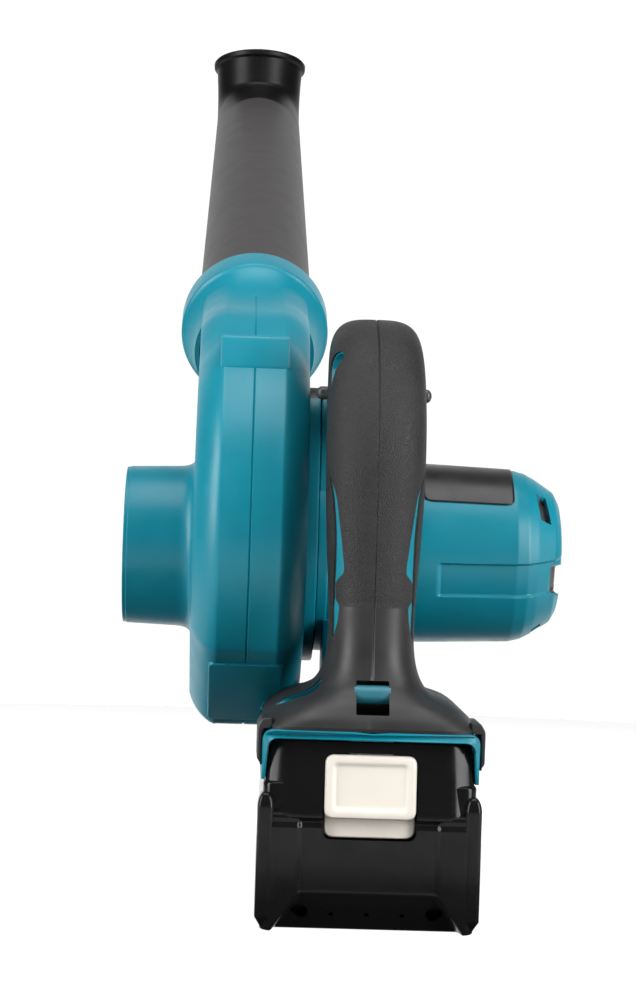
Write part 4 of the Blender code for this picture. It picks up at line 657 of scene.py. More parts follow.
# ================================================================ volute
@dataclass
class Volute:
    """The blower's scroll housing: the scroll, its round collar, the inlet duct and the motor's boss."""

    datum: Datum
    half_width: float = 20.5 * MM
    start_radius: float = 57 * MM
    growth: float = 0.1 * MM
    outlet_rise: float = 55.6 * MM
    outlet_half: float = 28.2 * MM
    outlet_end: float = 78 * MM
    roof_drop: float = 5.4 * MM
    shoulder_depth: float = 12.5 * MM
    shoulder_width: float = 9.8 * MM
    band_recess: float = 0.15 * MM
    split_groove: float = 0.5 * MM
    pad_reach: float = 64 * MM
    pad_heading: float = 237.0
    plate_half: float = 13.4 * MM
    plate_rear: float = 24 * MM
    plate_front: float = 17 * MM
    plate_raise: float = 0.7 * MM
    ledge_low: float = 65.5 * MM
    ledge_high: float = 78.0 * MM
    ledge_half: float = 12.6 * MM
    wall: float = 2.4 * MM
    collar_radius: float = 29.25 * MM
    collar_bore: float = 23.65 * MM
    inlet_length: float = 26 * MM
    inlet_radius: float = 29.55 * MM
    inlet_bore: float = 27 * MM

    def outline(self, inset: float) -> Array:
        """The scroll and its outlet as (along, across) from the motor's axis.

        The scroll is a circle whose radius grows evenly with the angle past the front; the outlet
        is straight above it. The lower rear is pressed flat to a pad.

        Args:
            inset: How far it is drawn in.

        Returns:
            The closed outline.
        """
        outlet_half = self.outlet_half - inset * 0.6
        low, top = self.outlet_rise - outlet_half, self.outlet_rise + outlet_half
        first = self.start_radius - inset
        start = math.asin(low / first)
        angle = np.linspace(start, -1.5 * np.pi, 260)
        lean = math.atan2(self.datum.along.z, self.datum.along.y)
        past_front = np.maximum(0, -np.degrees(angle + lean))
        radius = first + self.growth * past_front
        scroll = np.stack([radius * np.cos(angle), radius * np.sin(angle)], -1)
        end = self.outlet_end
        t = np.linspace(0, 1, 30)[1:, None]
        climb = scroll[-1, 1] + (top - scroll[-1, 1]) * smooth_step(t * end, 0, 30 * MM)
        drop = self.roof_drop * smooth_step(t * end, 26 * MM, 74 * MM)
        roof = np.concatenate([t * end, climb - drop], 1)
        floor = np.stack([np.linspace(end, scroll[0, 0], 18)[:-1], np.full(17, low)], -1)
        line = np.concatenate([scroll, roof, floor])
        normal = math.radians(self.pad_heading) - lean
        facing = np.array([math.cos(normal), math.sin(normal)])
        over = np.maximum(0, line @ facing - (self.pad_reach - inset))
        return line - over[:, None] * facing

    def sections(self, wall: float) -> tuple[Array, Array]:
        """The rim's cross-section: shoulders that roll in as a quarter of a superellipse, a recessed
        flat band between them and a V groove on the split.

        Args:
            wall: How far inside the outer surface.

        Returns:
            Places across the width from the middle, and how far each is drawn in.
        """
        turn = np.linspace(0, np.pi / 2, 15)
        shoulder_x = self.half_width - wall - self.shoulder_width * (1 - np.cos(turn) ** 1.32)
        shoulder_in = self.shoulder_depth * (1 - np.sin(turn) ** 1.32)
        if wall:
            x = np.concatenate([-shoulder_x, shoulder_x[::-1]])
            return x, np.concatenate([shoulder_in, shoulder_in[::-1]]) + wall
        band = self.half_width - self.shoulder_width
        x = np.concatenate([-shoulder_x, [-band + 0.5 * MM, -0.45 * MM, 0, 0.45 * MM, band - 0.5 * MM],
                            shoulder_x[::-1]])
        step = self.band_recess
        inner = [step, step, step + self.split_groove, step, step]
        return x, np.concatenate([shoulder_in, inner, shoulder_in[::-1]])

    def scroll(self, name: str, wall: float) -> Object:
        """Loft the outline through the cross-section.

        Args:
            name: The object's name.
            wall: How far inside the outer surface.

        Returns:
            The closed solid.
        """
        places, insets = self.sections(wall)
        motor, along, across = (np.array(v) for v in (self.datum.motor, self.datum.along, self.datum.across))
        rings = []
        for place, inset in zip(places, insets):
            flat = self.outline(float(inset))
            ring = motor + flat[:, :1] * along + flat[:, 1:] * across
            ring[:, 0] = self.datum.outlet.x + place
            rings.append(ring)
        return sheet_mesh(name, np.stack(rings))

    def collar(self) -> Object:
        """The round collar: a neck that sweeps out in a hollow curve to a plain band with rolled edges."""
        flare = np.linspace(0, 1, 20)
        neck = np.stack([(62 + 22.5 * flare) * MM, (23.4 + 4.3 * flare ** 2.4) * MM], -1)
        band = filleted([(85 * MM, 27.9 * MM, 0), (86.2 * MM, self.collar_radius, 0.8 * MM),
                         (101 * MM, self.collar_radius, 0.9 * MM), (101 * MM, self.collar_bore, 0.4 * MM),
                         (84.6 * MM, self.collar_bore,
                          0), (84.6 * MM, 21.6 * MM, 0), (62 * MM, 21.6 * MM, 0)], 6)
        return lathe("volute_collar", np.concatenate([neck, band]), self.datum.outlet, self.datum.along, 144,
                     True)

    def inlet(self) -> Object:
        """The inlet duct, with a fillet to the side wall, a thin step at its end and an open bore."""
        side = -self.half_width
        end = side - self.inlet_length
        profile = filleted([(end, self.inlet_bore, 0.5 * MM), (end, self.inlet_radius - 0.25 * MM, 0.45 * MM),
                            (end + 1.3 * MM, self.inlet_radius - 0.25 * MM, 0),
                            (end + 1.5 * MM, self.inlet_radius, 0.1 * MM),
                            (side - 0.2 * MM, self.inlet_radius + 0.8 * MM, 6 * MM),
                            (side - 0.2 * MM, 37.5 * MM, 0), (side + 1.5 * MM, 38 * MM, 0),
                            (side + 2.0 * MM, self.inlet_bore, 0)], 8, closed=True)
        origin = Vector((self.datum.outlet.x, self.datum.motor.y, self.datum.motor.z))
        return lathe("volute_inlet", profile, origin, Vector((1, 0, 0)), 144, True)

    def boss(self) -> Object:
        """The boss that the motor and the handle's neck are bolted to: a belt round two circles."""
        motor = self.datum.motor
        outline = belt([(motor.y, motor.z, 41.9 * MM), (45 * MM, self.datum.foot + 107.6 * MM, 14 * MM)])
        right = self.datum.outlet.x + self.half_width
        levels = np.array([right - 1.2 * MM, right + 3.4 * MM, right + 4.1 * MM, right + 4.4 * MM])
        made = slab("volute_boss", outline, levels, np.array([0, 0, 0.2 * MM, 0.7 * MM]), (1, 2, 0))
        middle = centres(made)
        paint(made, (middle[:, 2] > self.datum.foot + 117.2 * MM), 1)
        return made

    def rear_at(self, height: float) -> float:
        """Y of the scroll's rear at a height over the motor's axis, from the motor's axis."""
        flat = self.outline(0.0)
        along, across = self.datum.along, self.datum.across
        y = flat[:, 0] * along.y + flat[:, 1] * across.y
        z = flat[:, 0] * along.z + flat[:, 1] * across.z
        rear = y < -2 * MM
        order = np.argsort(z[rear])
        return float(np.interp(height, z[rear][order], y[rear][order]))

    def pads(self) -> list[Object]:
        """The two pads on the rim: a ledge over the split high at the rear, and a plate on the flat below.

        Returns:
            The pads.
        """
        motor = self.datum.motor
        low, high = self.ledge_low, self.ledge_high
        rear = self.rear_at(low)
        corners = [(rear + 0.3 * MM, low, 1.5 * MM), (rear + 5.2 * MM, high, 1.6 * MM),
                   (rear + 24 * MM, high, 0),
                   (rear + 24 * MM, low - 6 * MM, 0), (rear + 6 * MM, low - 8 * MM, 0)]
        outline = filleted([(motor.y + y, motor.z + z, r) for y, z, r in corners], 6, closed=True)
        half = self.ledge_half
        levels = self.datum.outlet.x + np.array([-half, -half + 0.25 * MM, -half + 0.9 * MM,
                                                 half - 0.9 * MM, half - 0.25 * MM, half])
        insets = np.array([0.9, 0.25, 0.0, 0.0, 0.25, 0.9]) * MM
        ledge = slab("volute_ledge", outline, levels, insets, (1, 2, 0))
        facing = math.radians(self.pad_heading)
        out = np.array([0, math.cos(facing), math.sin(facing)])
        onward = np.array([0, -math.sin(facing), math.cos(facing)])
        plate = block("volute_plate", (-self.plate_half, -self.plate_rear, self.pad_reach - 4 * MM),
                      (self.plate_half, self.plate_front, self.pad_reach + self.plate_raise), 2.5 * MM,
                      0.6 * MM)
        turn = Matrix(((1, 0, 0, self.datum.outlet.x), (0, onward[1], out[1], motor.y),
                       (0, onward[2], out[2], motor.z),
                       (0, 0, 0, 1)))
        plate.data.transform(turn)
        return [ledge, clean(plate)]

    def build(self) -> list[Object]:
        """Make the volute's pieces.

        Returns:
            The pieces.
        """
        datum = self.datum
        shell = self.scroll("volute_scroll", 0.0)
        passage = self.scroll("passage", self.wall)
        reach = np.array([-60 * MM, -10 * MM])
        bore = lathe("inlet_bore", np.stack([reach, np.full(2, self.inlet_bore)], -1),
                     Vector((datum.outlet.x, datum.motor.y, datum.motor.z)), Vector((1, 0, 0)), 144)
        carve(shell, passage, bore)
        lugs = []
        for number, (ahead, rise) in enumerate(((60.0, 16.5), (48.0, -40.0))):
            spot = datum.motor + datum.along * ahead * MM + datum.across * rise * MM
            profile = filleted([(-12.5 * MM, 0, 0), (-12.5 * MM, 5.8 * MM, 0.8 * MM),
                                (12.5 * MM, 5.8 * MM, 0.8 * MM), (12.5 * MM, 3.2 * MM, 0.3 * MM),
                                (9.8 * MM, 3.2 * MM, 0), (9.8 * MM, 0, 0)], 5)
            lugs.append(lathe(f"volute_lug_{number + 1}", profile, Vector((datum.outlet.x, spot.y, spot.z)),
                              Vector((1, 0, 0)), 64))
        dress(shell, "housing", TEAL, replaces=("volute_left", "volute_right"))
        boss = dress(self.boss(), "housing", TEAL, RUBBER_SMOOTH)
        return [shell, boss, *(dress(piece, "housing", TEAL)
                               for piece in (self.collar(), self.inlet(), *self.pads(), *lugs))]


# ================================================================ motor barrel
@dataclass
class Barrel:
    """The motor barrel with its flange, recessed side panel and slanted vents, and the blank label."""

    datum: Datum
    root_x: float = -13.7 * MM
    end_x: float = 74.1 * MM
    root_radius: float = 33.9 * MM
    radius: float = 32.4 * MM
    flange_radius: float = 37.9 * MM
    panel_angle: float = math.radians(-16)
    panel_depth: float = 1.2 * MM
    vent_angle: float = math.radians(42)
    vent_depth: float = 3.0 * MM
    channel_low: float = -13.6 * MM
    channel_high: float = -2.2 * MM
    channel_depth: float = 2.2 * MM

    def profile(self, x: Array) -> Array:
        """The barrel's radius: a slow taper, then an end rounded off in facets that roll into each other."""
        knots = np.array([-13.7, 22.0, 56.1, 60.5, 64.3, 71.3, 73.3, 74.1]) * MM
        radii = np.array([33.9, 33.6, 32.4, 31.3, 29.3, 24.7, 21.0, 17.0]) * MM
        soft = np.zeros_like(x)
        for shift in np.linspace(-0.4, 0.4, 7) * MM:
            soft += np.interp(x + shift, knots, radii) / 7
        return np.where(x > self.end_x - 1.0 * MM, np.interp(x, knots, radii), soft)

    def shell(self) -> Object:
        """The barrel as radius over (x, angle), sunk at the panel and the vents.

        Returns:
            The barrel, its vents' floors painted with the second finish.
        """
        stretches = (np.linspace(self.root_x, 54 * MM, 90), np.linspace(54 * MM, self.end_x, 90))
        x = np.unique(np.concatenate(stretches))
        angle = np.linspace(0, 2 * np.pi, 540, endpoint=False)
        grid_x, grid_a = np.meshgrid(x, angle, indexing="ij")
        radius = np.repeat(self.profile(x)[:, None], len(angle), 1)
        from_panel = (grid_a - self.panel_angle + np.pi) % (2 * np.pi) - np.pi
        panel = flat_top(from_panel * radius, -6.6 * MM, 6.6 * MM,
                         0.7 * MM) * smooth_step(grid_x, 27.0 * MM, 28.0 * MM)
        radius -= self.panel_depth * panel
        for step in range(6):
            around = (grid_a - self.vent_angle - step * math.pi / 3 + np.pi) % (2 * np.pi) - np.pi
            slanted = grid_x - 66.2 * MM + around * 4.0 * MM
            if step != 5:
                radius -= self.vent_depth * (flat_top(around * radius, -6.2 * MM, 6.2 * MM, 0.6 * MM)
                                             * flat_top(slanted, -2.0 * MM, 2.0 * MM, 0.55 * MM))
        rim = radius[-1:]
        inward = np.linspace(1, 0.03, 24)[1:, None]
        radius = np.concatenate([radius, rim * inward])
        grid_x = np.concatenate([grid_x, np.repeat(grid_x[-1:], 23, 0)])
        grid_a = np.concatenate([grid_a, np.repeat(grid_a[-1:], 23, 0)])
        motor = self.datum.motor
        rise = radius * np.sin(grid_a)
        channel = flat_top(rise, self.channel_low, self.channel_high,
                           0.9 * MM) * smooth_step(grid_x, 68 * MM, 72.5 * MM)
        grid_x = grid_x - self.channel_depth * channel
        points = np.stack([grid_x, motor.y - radius * np.cos(grid_a), motor.z + rise], -1)
        made = sheet_mesh("motor_barrel", points)
        middle = centres(made)
        out = np.hypot(middle[:, 1] - motor.y, middle[:, 2] - motor.z)
        deep = self.profile(middle[:, 0]) - out > 1.9 * MM
        sunk = deep & (middle[:, 0] > 60 * MM) & (middle[:, 0] < 72 * MM)
        return paint(made, sunk, 1)

    def label(self) -> Object:
        """The blank foil on the barrel's top: a curved patch with rounded corners, over (x, angle)."""
        low, high = 21.0 * MM, 55.0 * MM
        start, end = math.radians(36), math.radians(98)
        corner = 3 * MM
        u = np.linspace(-1, 1, 40)
        v = np.linspace(-1, 1, 60)
        grid_u, grid_v = np.meshgrid(u, v, indexing="ij")
        half_x = (high - low) / 2
        half_arc = (end - start) / 2 * self.root_radius
        edge = np.maximum(0, np.abs(grid_v) * half_arc - (half_arc - corner))
        shrink = corner - np.sqrt(np.maximum(corner ** 2 - np.minimum(edge, corner) ** 2, 0))
        x = (low + high) / 2 + grid_u * (half_x - shrink)
        angle = (start + end) / 2 + grid_v * (end - start) / 2
        motor = self.datum.motor
        thickness, raised = 0.4 * MM, 0.45 * MM
        radius = self.profile(x) + raised
        points = np.stack([x, motor.y - radius * np.cos(angle), motor.z + radius * np.sin(angle)], -1)
        made = sheet_mesh("motor_label", points, (False, False))
        wall = made.modifiers.new("thickness", "SOLIDIFY")
        wall.thickness = thickness
        wall.offset = -1.0
        return made

    def build(self) -> list[Object]:
        """Make the barrel, its flange and its label.

        Returns:
            The pieces.
        """
        motor = self.datum.motor
        flange = filleted([(-17.6 * MM, 0, 0), (-17.6 * MM, self.flange_radius, 0.3 * MM),
                           (self.root_x, self.flange_radius, 0.8 * MM), (self.root_x, 33.5 * MM, 0.6 * MM),
                           (-10 * MM, 33.2 * MM, 0), (-10 * MM, 0, 0)], 5)
        ring = lathe("motor_flange", flange, Vector((0, motor.y, motor.z)), Vector((1, 0, 0)), 144)
        outline = belt([(motor.y, motor.z,
                         self.root_radius - 4 * MM), (45 * MM, self.datum.foot + 107.6 * MM, 14 * MM)])
        neck = slab("neck_plate", outline, np.array([-17.6, -17.2, -8.6, -8.0]) * MM,
                    np.array([0.3, 0, 0, 0.5]) * MM,
                    (1, 2, 0))
        paint(neck, centres(neck)[:, 2] > self.datum.foot + 117.2 * MM, 1)
        return [dress(self.shell(), "housing", TEAL, DARK), dress(ring, "housing", TEAL),
                dress(neck, "housing", TEAL, RUBBER_SMOOTH),
                dress(self.label(), "housing", LABEL, replaces=("label_plate",))]


# ================================================================ handle and foot
@dataclass
class Handle:
    """The looped handle: a teal core, a soft skin over it with openings, and the foot's rim and bumpers.

    Attributes:
        datum: The shared places.
        skin: Thickness of the soft skin.
        core_inset: How far the core lies under the skin's surface where it shows in an opening.
        skin_end: Where the skin ends on the neck, as Y.
        foot_skin_end: Where the skin ends on the foot, as Y.
        stations: Y, height over the foot, tangent in degrees, half width, half depth and squareness of
            the handle's cross-section, from the foot to the neck, in millimetres.
    """

    datum: Datum
    skin: float = 1.8 * MM
    core_inset: float = 0.7 * MM
    skin_end: float = 22 * MM
    foot_skin_end: float = 27 * MM
    rim_height: float = 2.65 * MM
    skirt_drop: float = 14.5 * MM
    skirt_set_back: float = 6.5 * MM
    foot_half: float = 36.8 * MM
    strap_half: float = 5.6 * MM
    strap_low: float = 8.2 * MM
    strap_high: float = 19.4 * MM
    crease_height: float = 46.0 * MM
    stations: list[tuple[float, ...]] = field(default_factory=lambda: [
        (0.0, 2.6, 90, 36.8, 57.5, 9.0), (-0.4, 6.1, 90, 35.0, 55.9, 7.0), (-1.9, 10.0, 90, 30.6, 51.9, 5.0),
        (-9.3, 14.0, 90, 22.0, 41.3, 4.0), (-17.0, 18.0, 90, 18.2, 31.0,
                                            3.2), (-21.3, 23.6, 90, 16.0, 24.8, 2.8),
        (-23.7, 32.6, 90, 14.8, 20.9, 2.6), (-24.0, 47.6, 90, 15.2, 19.8,
                                             2.5), (-23.7, 63.6, 90, 16.2, 19.7, 2.5),
        (-23.3, 80.6, 90, 17.0, 19.6, 2.5), (-21.5, 95.6, 78, 17.3, 19.5,
                                             2.7), (-15.5, 110.0, 58, 17.3, 19.6, 3.1),
        (-4.7, 120.8, 30, 17.0, 19.8, 3.6), (10.0, 125.0, 2, 16.5, 20.2,
                                             3.5), (25.0, 120.6, -22, 15.5, 18.5, 2.8),
        (38.0, 112.5, -33, 14.8, 17.0, 2.4), (50.0, 104.0, -36, 14.4, 16.5, 2.4)])

    def interpolated(self, count: int) -> Array:
        """Run a smooth curve through the stations.

        Between two stations each value follows a cubic whose slopes at both ends are the mean slopes
        of their neighbours, over the distance along the handle's middle.

        Args:
            count: How many cross-sections to make.

        Returns:
            Rows of Y, height, tangent, half width, half depth and squareness, in metres and radians.
        """
        table = np.array(self.stations, float)
        table[:, [0, 1, 3, 4]] *= MM
        table[:, 2] = np.radians(table[:, 2])
        reach = np.concatenate([[0], np.cumsum(np.hypot(*np.diff(table[:, :2], axis=0).T) + 2.5 * MM)])
        slope = np.gradient(table, reach, axis=0)
        place = np.linspace(0, reach[-1], count)
        i = np.clip(np.searchsorted(reach, place, side="right") - 1, 0, len(reach) - 2)
        width = (reach[i + 1] - reach[i])[:, None]
        t = ((place - reach[i])[:, None]) / width
        start, end = table[i], table[i + 1]
        return ((2 * t ** 3 - 3 * t ** 2 + 1) * start + (t ** 3 - 2 * t ** 2 + t) * width * slope[i]
                + (3 * t ** 2 - 2 * t ** 3) * end + (t ** 3 - t ** 2) * width * slope[i + 1])

    def rings(self, rows: Array, inset: Array, groove: float = 0.0, columns: int = 132) -> Array:
        """Cross-sections as superellipses, their points spread evenly along each outline.

        A point at turn a lies at (w * |cos a|^(2/n), d * |sin a|^(2/n)) across the handle's middle.

        Args:
            rows: The cross-sections, from interpolated().
            inset: How far each is drawn in.
            groove: Depth of the mould line at the rear and the front.
            columns: Points round each.

        Returns:
            The points, as [rows, columns, 3].
        """
        share = np.linspace(0, 1, columns, endpoint=False)
        nick = 0.0035
        share = np.unique(np.round(np.concatenate([share, [nick, 0.5 - nick, 0.5 + nick, 1 - nick]]), 9))
        turn = np.pi / 2 + 2 * np.pi * np.linspace(0, 1, 1441)
        power = 2 / rows[:, 5:6]
        half_width, half_depth = rows[:, 3:4] - inset[:, None], rows[:, 4:5] - inset[:, None]
        x = half_width * np.sign(np.cos(turn)) * np.abs(np.cos(turn)) ** power
        out = half_depth * np.sign(np.sin(turn)) * np.abs(np.sin(turn)) ** power
        length = np.concatenate([np.zeros((len(rows), 1)), np.cumsum(np.hypot(np.diff(x), np.diff(out)), 1)],
                                1)
        length /= length[:, -1:]
        flat_x = np.stack([np.interp(share, length[i], x[i]) for i in range(len(rows))])
        flat_out = np.stack([np.interp(share, length[i], out[i]) for i in range(len(rows))])
        on_line = (share == 0) | (share == 0.5)
        flat_out -= groove * on_line[None] * np.sign(flat_out)
        tangent = rows[:, 2:3]
        return np.stack([flat_x, rows[:, 0:1] - np.sin(tangent) * flat_out,
                         self.datum.foot + rows[:, 1:2] + np.cos(tangent) * flat_out], -1)

    def window(self, shift: float) -> Object:
        """The side window, a slim blade over a small diamond, as a bar through both flanks."""
        rear = -self.datum.half_length
        corners = [(27.6, 90.8, 0.3), (20.8, 83.4, 5), (18.6, 70.0, 6), (17.3, 57.5, 1.5), (17.5, 55.2, 0.8),
                   (21.2, 51.8, 0.8), (21.2, 46.4,
                                       0.6), (19.0, 43.6, 0.8), (19.8, 38.0, 2), (23.2, 31.8, 0.2),
                   (24.4, 33.4, 0.2), (24.2, 43.0, 2), (23.3, 47.0, 1), (23.0, 51.8, 1), (21.9, 58.5, 3),
                   (21.3, 70.0, 6), (23.2, 82.5, 4), (28.4, 91.0, 0.3)]
        outline = filleted([(rear + y * MM, self.datum.foot + z * MM, r * MM) for y, z, r in corners], 5,
                           closed=True)
        levels = np.array([-40 * MM, 40 * MM])
        return slab("window", outline, levels, np.full(2, shift), (1, 2, 0))

    def teardrops(self, grown: float, depth: float) -> list[Object]:
        """The teardrop openings over two of the screws, on the left flank.

        Args:
            grown: How far their outline is grown.
            depth: X of their floor.

        Returns:
            The cutting shapes.
        """
        rear, foot = -self.datum.half_length, self.datum.foot
        top = belt([(-17.9 * MM, foot + 127.6 * MM, 4.3 * MM
                     + grown), (-20.6 * MM, foot + 119.4 * MM, 1.4 * MM + grown)])
        low = belt([(rear + 24.5 * MM, foot + 14.2 * MM, 4.6 * MM
                     + grown), (rear + 33 * MM, foot + 10.2 * MM, 2.0 * MM + grown)])
        return [slab(f"teardrop_{i}", outline, np.array([-45 * MM, depth]), np.zeros(2), (1, 2, 0))
                for i, outline in enumerate((top, low))]

    def openings(self, grown: float, depth: float) -> list[Object]:
        """Everything that goes through the skin and the core alike.

        Args:
            grown: How far the outlines are grown.
            depth: X of the teardrops' floor.

        Returns:
            The cutting shapes.
        """
        rear, foot = -self.datum.half_length, self.datum.foot
        wider = abs(grown)
        strap = block("strap", (-self.strap_half - wider, rear - 5 * MM, foot + self.strap_low - wider),
                      (self.strap_half + wider, rear + 17 * MM, foot + self.strap_high + wider), 0.6 * MM, 0,
                      1, 5)
        low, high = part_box("trigger")
        gap = 0.5 * MM + grown
        slot = block("slot", (low.x - gap, -20 * MM, low.z - gap), (high.x + gap, 20 * MM, high.z + gap),
                     1.2 * MM, 0, 1, 5)
        return [strap, slot, *self.teardrops(grown, depth)]

    def build_skin(self) -> Object:
        """The soft skin: out along its outside and back along its inside, then cut.

        Returns:
            The skin.
        """
        rows = self.interpolated(236)
        end = int(np.argmax(rows[:, 0] > self.skin_end + 2 * MM))
        rows = rows[:end]
        row = np.arange(end) * 1.0
        roll = 0.7 * MM * (1 - smooth_step(row, 0, 2)) + 0.8 * MM * smooth_step(row, end - 3, end - 1)
        outer = self.rings(rows, roll, 0.35 * MM)
        bow = (outer[..., 0] / (18 * MM)) ** 2 * 3.5 * MM
        above_crease = outer[..., 2] - self.datum.foot - self.crease_height + bow
        depth = 0.13 * MM * np.exp(-(above_crease / (0.8 * MM)) ** 2)
        outer[..., 0] -= np.sign(outer[..., 0]) * depth * np.minimum(1, np.abs(outer[..., 0]) / (6 * MM))
        outer[..., 1] += depth * (outer[..., 1] < rows[:, None, 0]) * (rows[:, None, 1] < 70 * MM)
        inner = self.rings(rows, np.full(end, self.skin))
        skin = sheet_mesh("grip_skin", np.concatenate([outer, inner[::-1]]), (True, True))
        foot = self.datum.foot
        front = block("front", (-60 * MM, self.foot_skin_end, 0), (60 * MM, 120 * MM, foot + 33 * MM), 0)
        carve(skin, front, self.window(0.0), *self.openings(0.0, -3 * MM))
        paint(skin, centres(skin)[:, 2] < foot + self.crease_height - 2 * MM, 1)
        return dress(skin, "housing", RUBBER, RUBBER_SMOOTH, replaces=("grip_left", "grip_right"))

    def build_core(self) -> Object:
        """The teal core under the skin, flush with it where the skin ends.

        Returns:
            The core.
        """
        rows = self.interpolated(200)
        inset = np.full(len(rows), self.core_inset)
        bare = smooth_step(rows[:, 0], self.skin_end + 2.0 * MM, self.skin_end + 2.6 * MM)
        inset -= (self.core_inset - 0.1 * MM) * bare
        points = self.rings(rows, inset, 0.3 * MM)
        beyond = smooth_step(points[..., 1], self.foot_skin_end + 0.1 * MM, self.foot_skin_end + 0.4 * MM)
        low = (rows[:, 1] < 30 * MM)[:, None]
        flush = self.rings(rows, np.full(len(rows), -0.25 * MM), 0.0)
        points = np.where((low & (beyond > 0.5))[..., None], flush, points)
        core = sheet_mesh("handle_core", points)
        carve(core, *self.openings(-0.7 * MM, -8.5 * MM))
        middle = centres(core)
        rear = -self.datum.half_length
        inside = (np.abs(middle[:, 0]) < self.strap_half + MM) & (middle[:, 1] < rear + 18 * MM)
        inside &= middle[:, 2] < self.datum.foot + self.strap_high + MM
        paint(core, inside, 1)
        # Painted shade: the faces on the teardrops' floor take the darker teal, the third material.
        deep = (middle[:, 0] > -8.6 * MM) & (middle[:, 0] < -8.4 * MM)
        paint(core, deep, 2)
        return dress(core, "housing", TEAL, RUBBER_SMOOTH, TEAL_PAINTED_SHADE,
                     replaces=("housing_left", "housing_right"))

    def rim(self) -> Object:
        """The foot's teal rim: an upturned channel over the battery, its rear corners round from above.

        Within one corner radius of a side, a point's Y moves back along a quarter circle.

        Returns:
            The rim.
        """
        foot, half, side = self.datum.foot, self.datum.half_length, self.foot_half
        low = -self.skirt_drop
        corners = [(-side, low, 0), (-side + 1.3 * MM, low,
                                     0), (-side + 2.2 * MM, -0.2 * MM, 3.5), (-6 * MM, -0.2 * MM, 0),
                   (6 * MM, -0.2 * MM, 0), (side - 2.2 * MM, -0.2 * MM, 3.5), (side - 1.3 * MM, low, 0),
                   (side, low, 0), (side, self.rim_height, 4.5), (6 * MM, self.rim_height, 0),
                   (0.0, self.rim_height - 0.5 * MM,
                    0), (-6 * MM, self.rim_height, 0), (-side, self.rim_height, 4.5)]
        outline = filleted([(x, foot + z, r * MM) for x, z, r in corners], 8, closed=True)
        levels = np.array([-half, -half + 0.1 * MM, -half + 0.5 * MM, -half + 6 * MM,
                           half - 6 * MM, half - 0.5 * MM, half])
        insets = np.array([0.3, 0.1, 0.0, 0.0, 0.0, 0.0, 0.25]) * MM
        made = slab("foot_rim", outline, levels, insets, (0, 2, 1))
        work = bmesh.new()
        work.from_mesh(made.data)
        bmesh.ops.triangulate(work, faces=[face for face in work.faces if len(face.verts) > 4],
                              ngon_method="EAR_CLIP")
        work.to_mesh(made.data)
        work.free()
        flat = np.zeros(len(made.data.vertices) * 3)
        made.data.vertices.foreach_get("co", flat)
        points = flat.reshape(-1, 3)
        radius = 6 * MM
        near = np.clip(np.abs(points[:, 0]) - (side - radius), 0, radius)
        back = radius - np.sqrt(radius ** 2 - near ** 2)
        back = np.maximum(back, self.skirt_set_back * smooth_step(foot - points[:, 2], 0.5 * MM, 7 * MM))
        reach = self.datum.half_length * 0.5
        points[:, 1] += back * np.clip((reach - np.abs(points[:, 1] + half)) / (half * 0.5), 0, 1)
        made.data.vertices.foreach_set("co", points.ravel())
        return clean(made)

    def build_foot(self) -> list[Object]:
        """The foot's teal rim, its side skirts, its battery rails, the strap's bar and the bridge.

        Returns:
            The pieces.
        """
        foot, half = self.datum.foot, self.datum.half_length
        pieces = [self.rim()]
        for side, word in ((-1, "left"), (1, "right")):
            inner = sorted((side * 19.6 * MM, side * 26.4 * MM))
            pieces.append(block(f"battery_rail_{word}", (inner[0], -34 * MM, foot - 9.1 * MM),
                                (inner[1], 44 * MM, foot - 5.7 * MM), 0.4 * MM, 0, 1, 3))
            web = sorted((side * 24.0 * MM, side * 26.4 * MM))
            pieces.append(block(f"rail_web_{word}", (web[0], -34 * MM, foot - 6.0 * MM),
                                (web[1], 44 * MM, foot + 1 * MM),
                                0.4 * MM, 0, 1, 3))
        bridge = block("handle_bridge", (-14.8 * MM, 24 * MM, foot + 8 * MM),
                       (14.8 * MM, 60 * MM, self.datum.motor.z - 25 * MM),
                       4 * MM, 0, 2, 10)
        middle = (self.strap_low + self.strap_high) / 2
        reach, thick = self.strap_half + 0.6 * MM, 3.2 * MM
        bar = lathe("strap_bar", filleted([(-reach, 0,
                                            0), (-reach, thick, 0.1 * MM), (reach, thick, 0.1 * MM),
                                           (reach, 0, 0)], 3),
                    Vector((0, -half + 11.2 * MM, foot + middle + 0.8 * MM)), Vector((1, 0, 0)), 64)
        # The strap's bar wears the darker teal as painted shade inside the strap's pocket.
        return [*(dress(piece, "housing", TEAL)
                  for piece in (*pieces, bridge)), dress(bar, "housing", TEAL_PAINTED_SHADE)]

    def build_bumpers(self) -> list[Object]:
        """The rubber bumpers on both sides of the foot: pads with slanted ends.

        Returns:
            The pieces.
        """
        foot, rear = self.datum.foot, -self.datum.half_length
        made = []
        for side, word in ((-1, "left"), (1, "right")):
            profile = [(self.foot_half + 0.05 * MM, -9.6, 0), (self.foot_half + 1.7 * MM, -7.6, 0.8),
                       (self.foot_half + 1.7 * MM, 3.4, 1.2), (self.foot_half + 0.05 * MM, 6.2, 0.8),
                       (self.foot_half - 3.2 * MM, 6.2,
                        0), (self.foot_half - 3.2 * MM, 2.6, 0), (self.foot_half + 0.05 * MM, 2.6, 0)]
            outline = filleted([(side * x, foot + z * MM, r * MM) for x, z, r in profile], 6, closed=True)
            levels = rear + np.array([5.6, 5.9, 6.6, 29.4, 30.1, 30.4]) * MM
            insets = np.array([0.5, 0.15, 0, 0, 0.15, 0.5]) * MM
            made.append(dress(slab(f"foot_bumper_{word}", outline, levels, insets, (0, 2, 1)), "housing",
                              RUBBER_SMOOTH))
        return made

    def build(self) -> list[Object]:
        """Make the handle's pieces.

        Returns:
            The pieces.
        """
        return [self.build_skin(), self.build_core(), *self.build_foot(), *self.build_bumpers()]


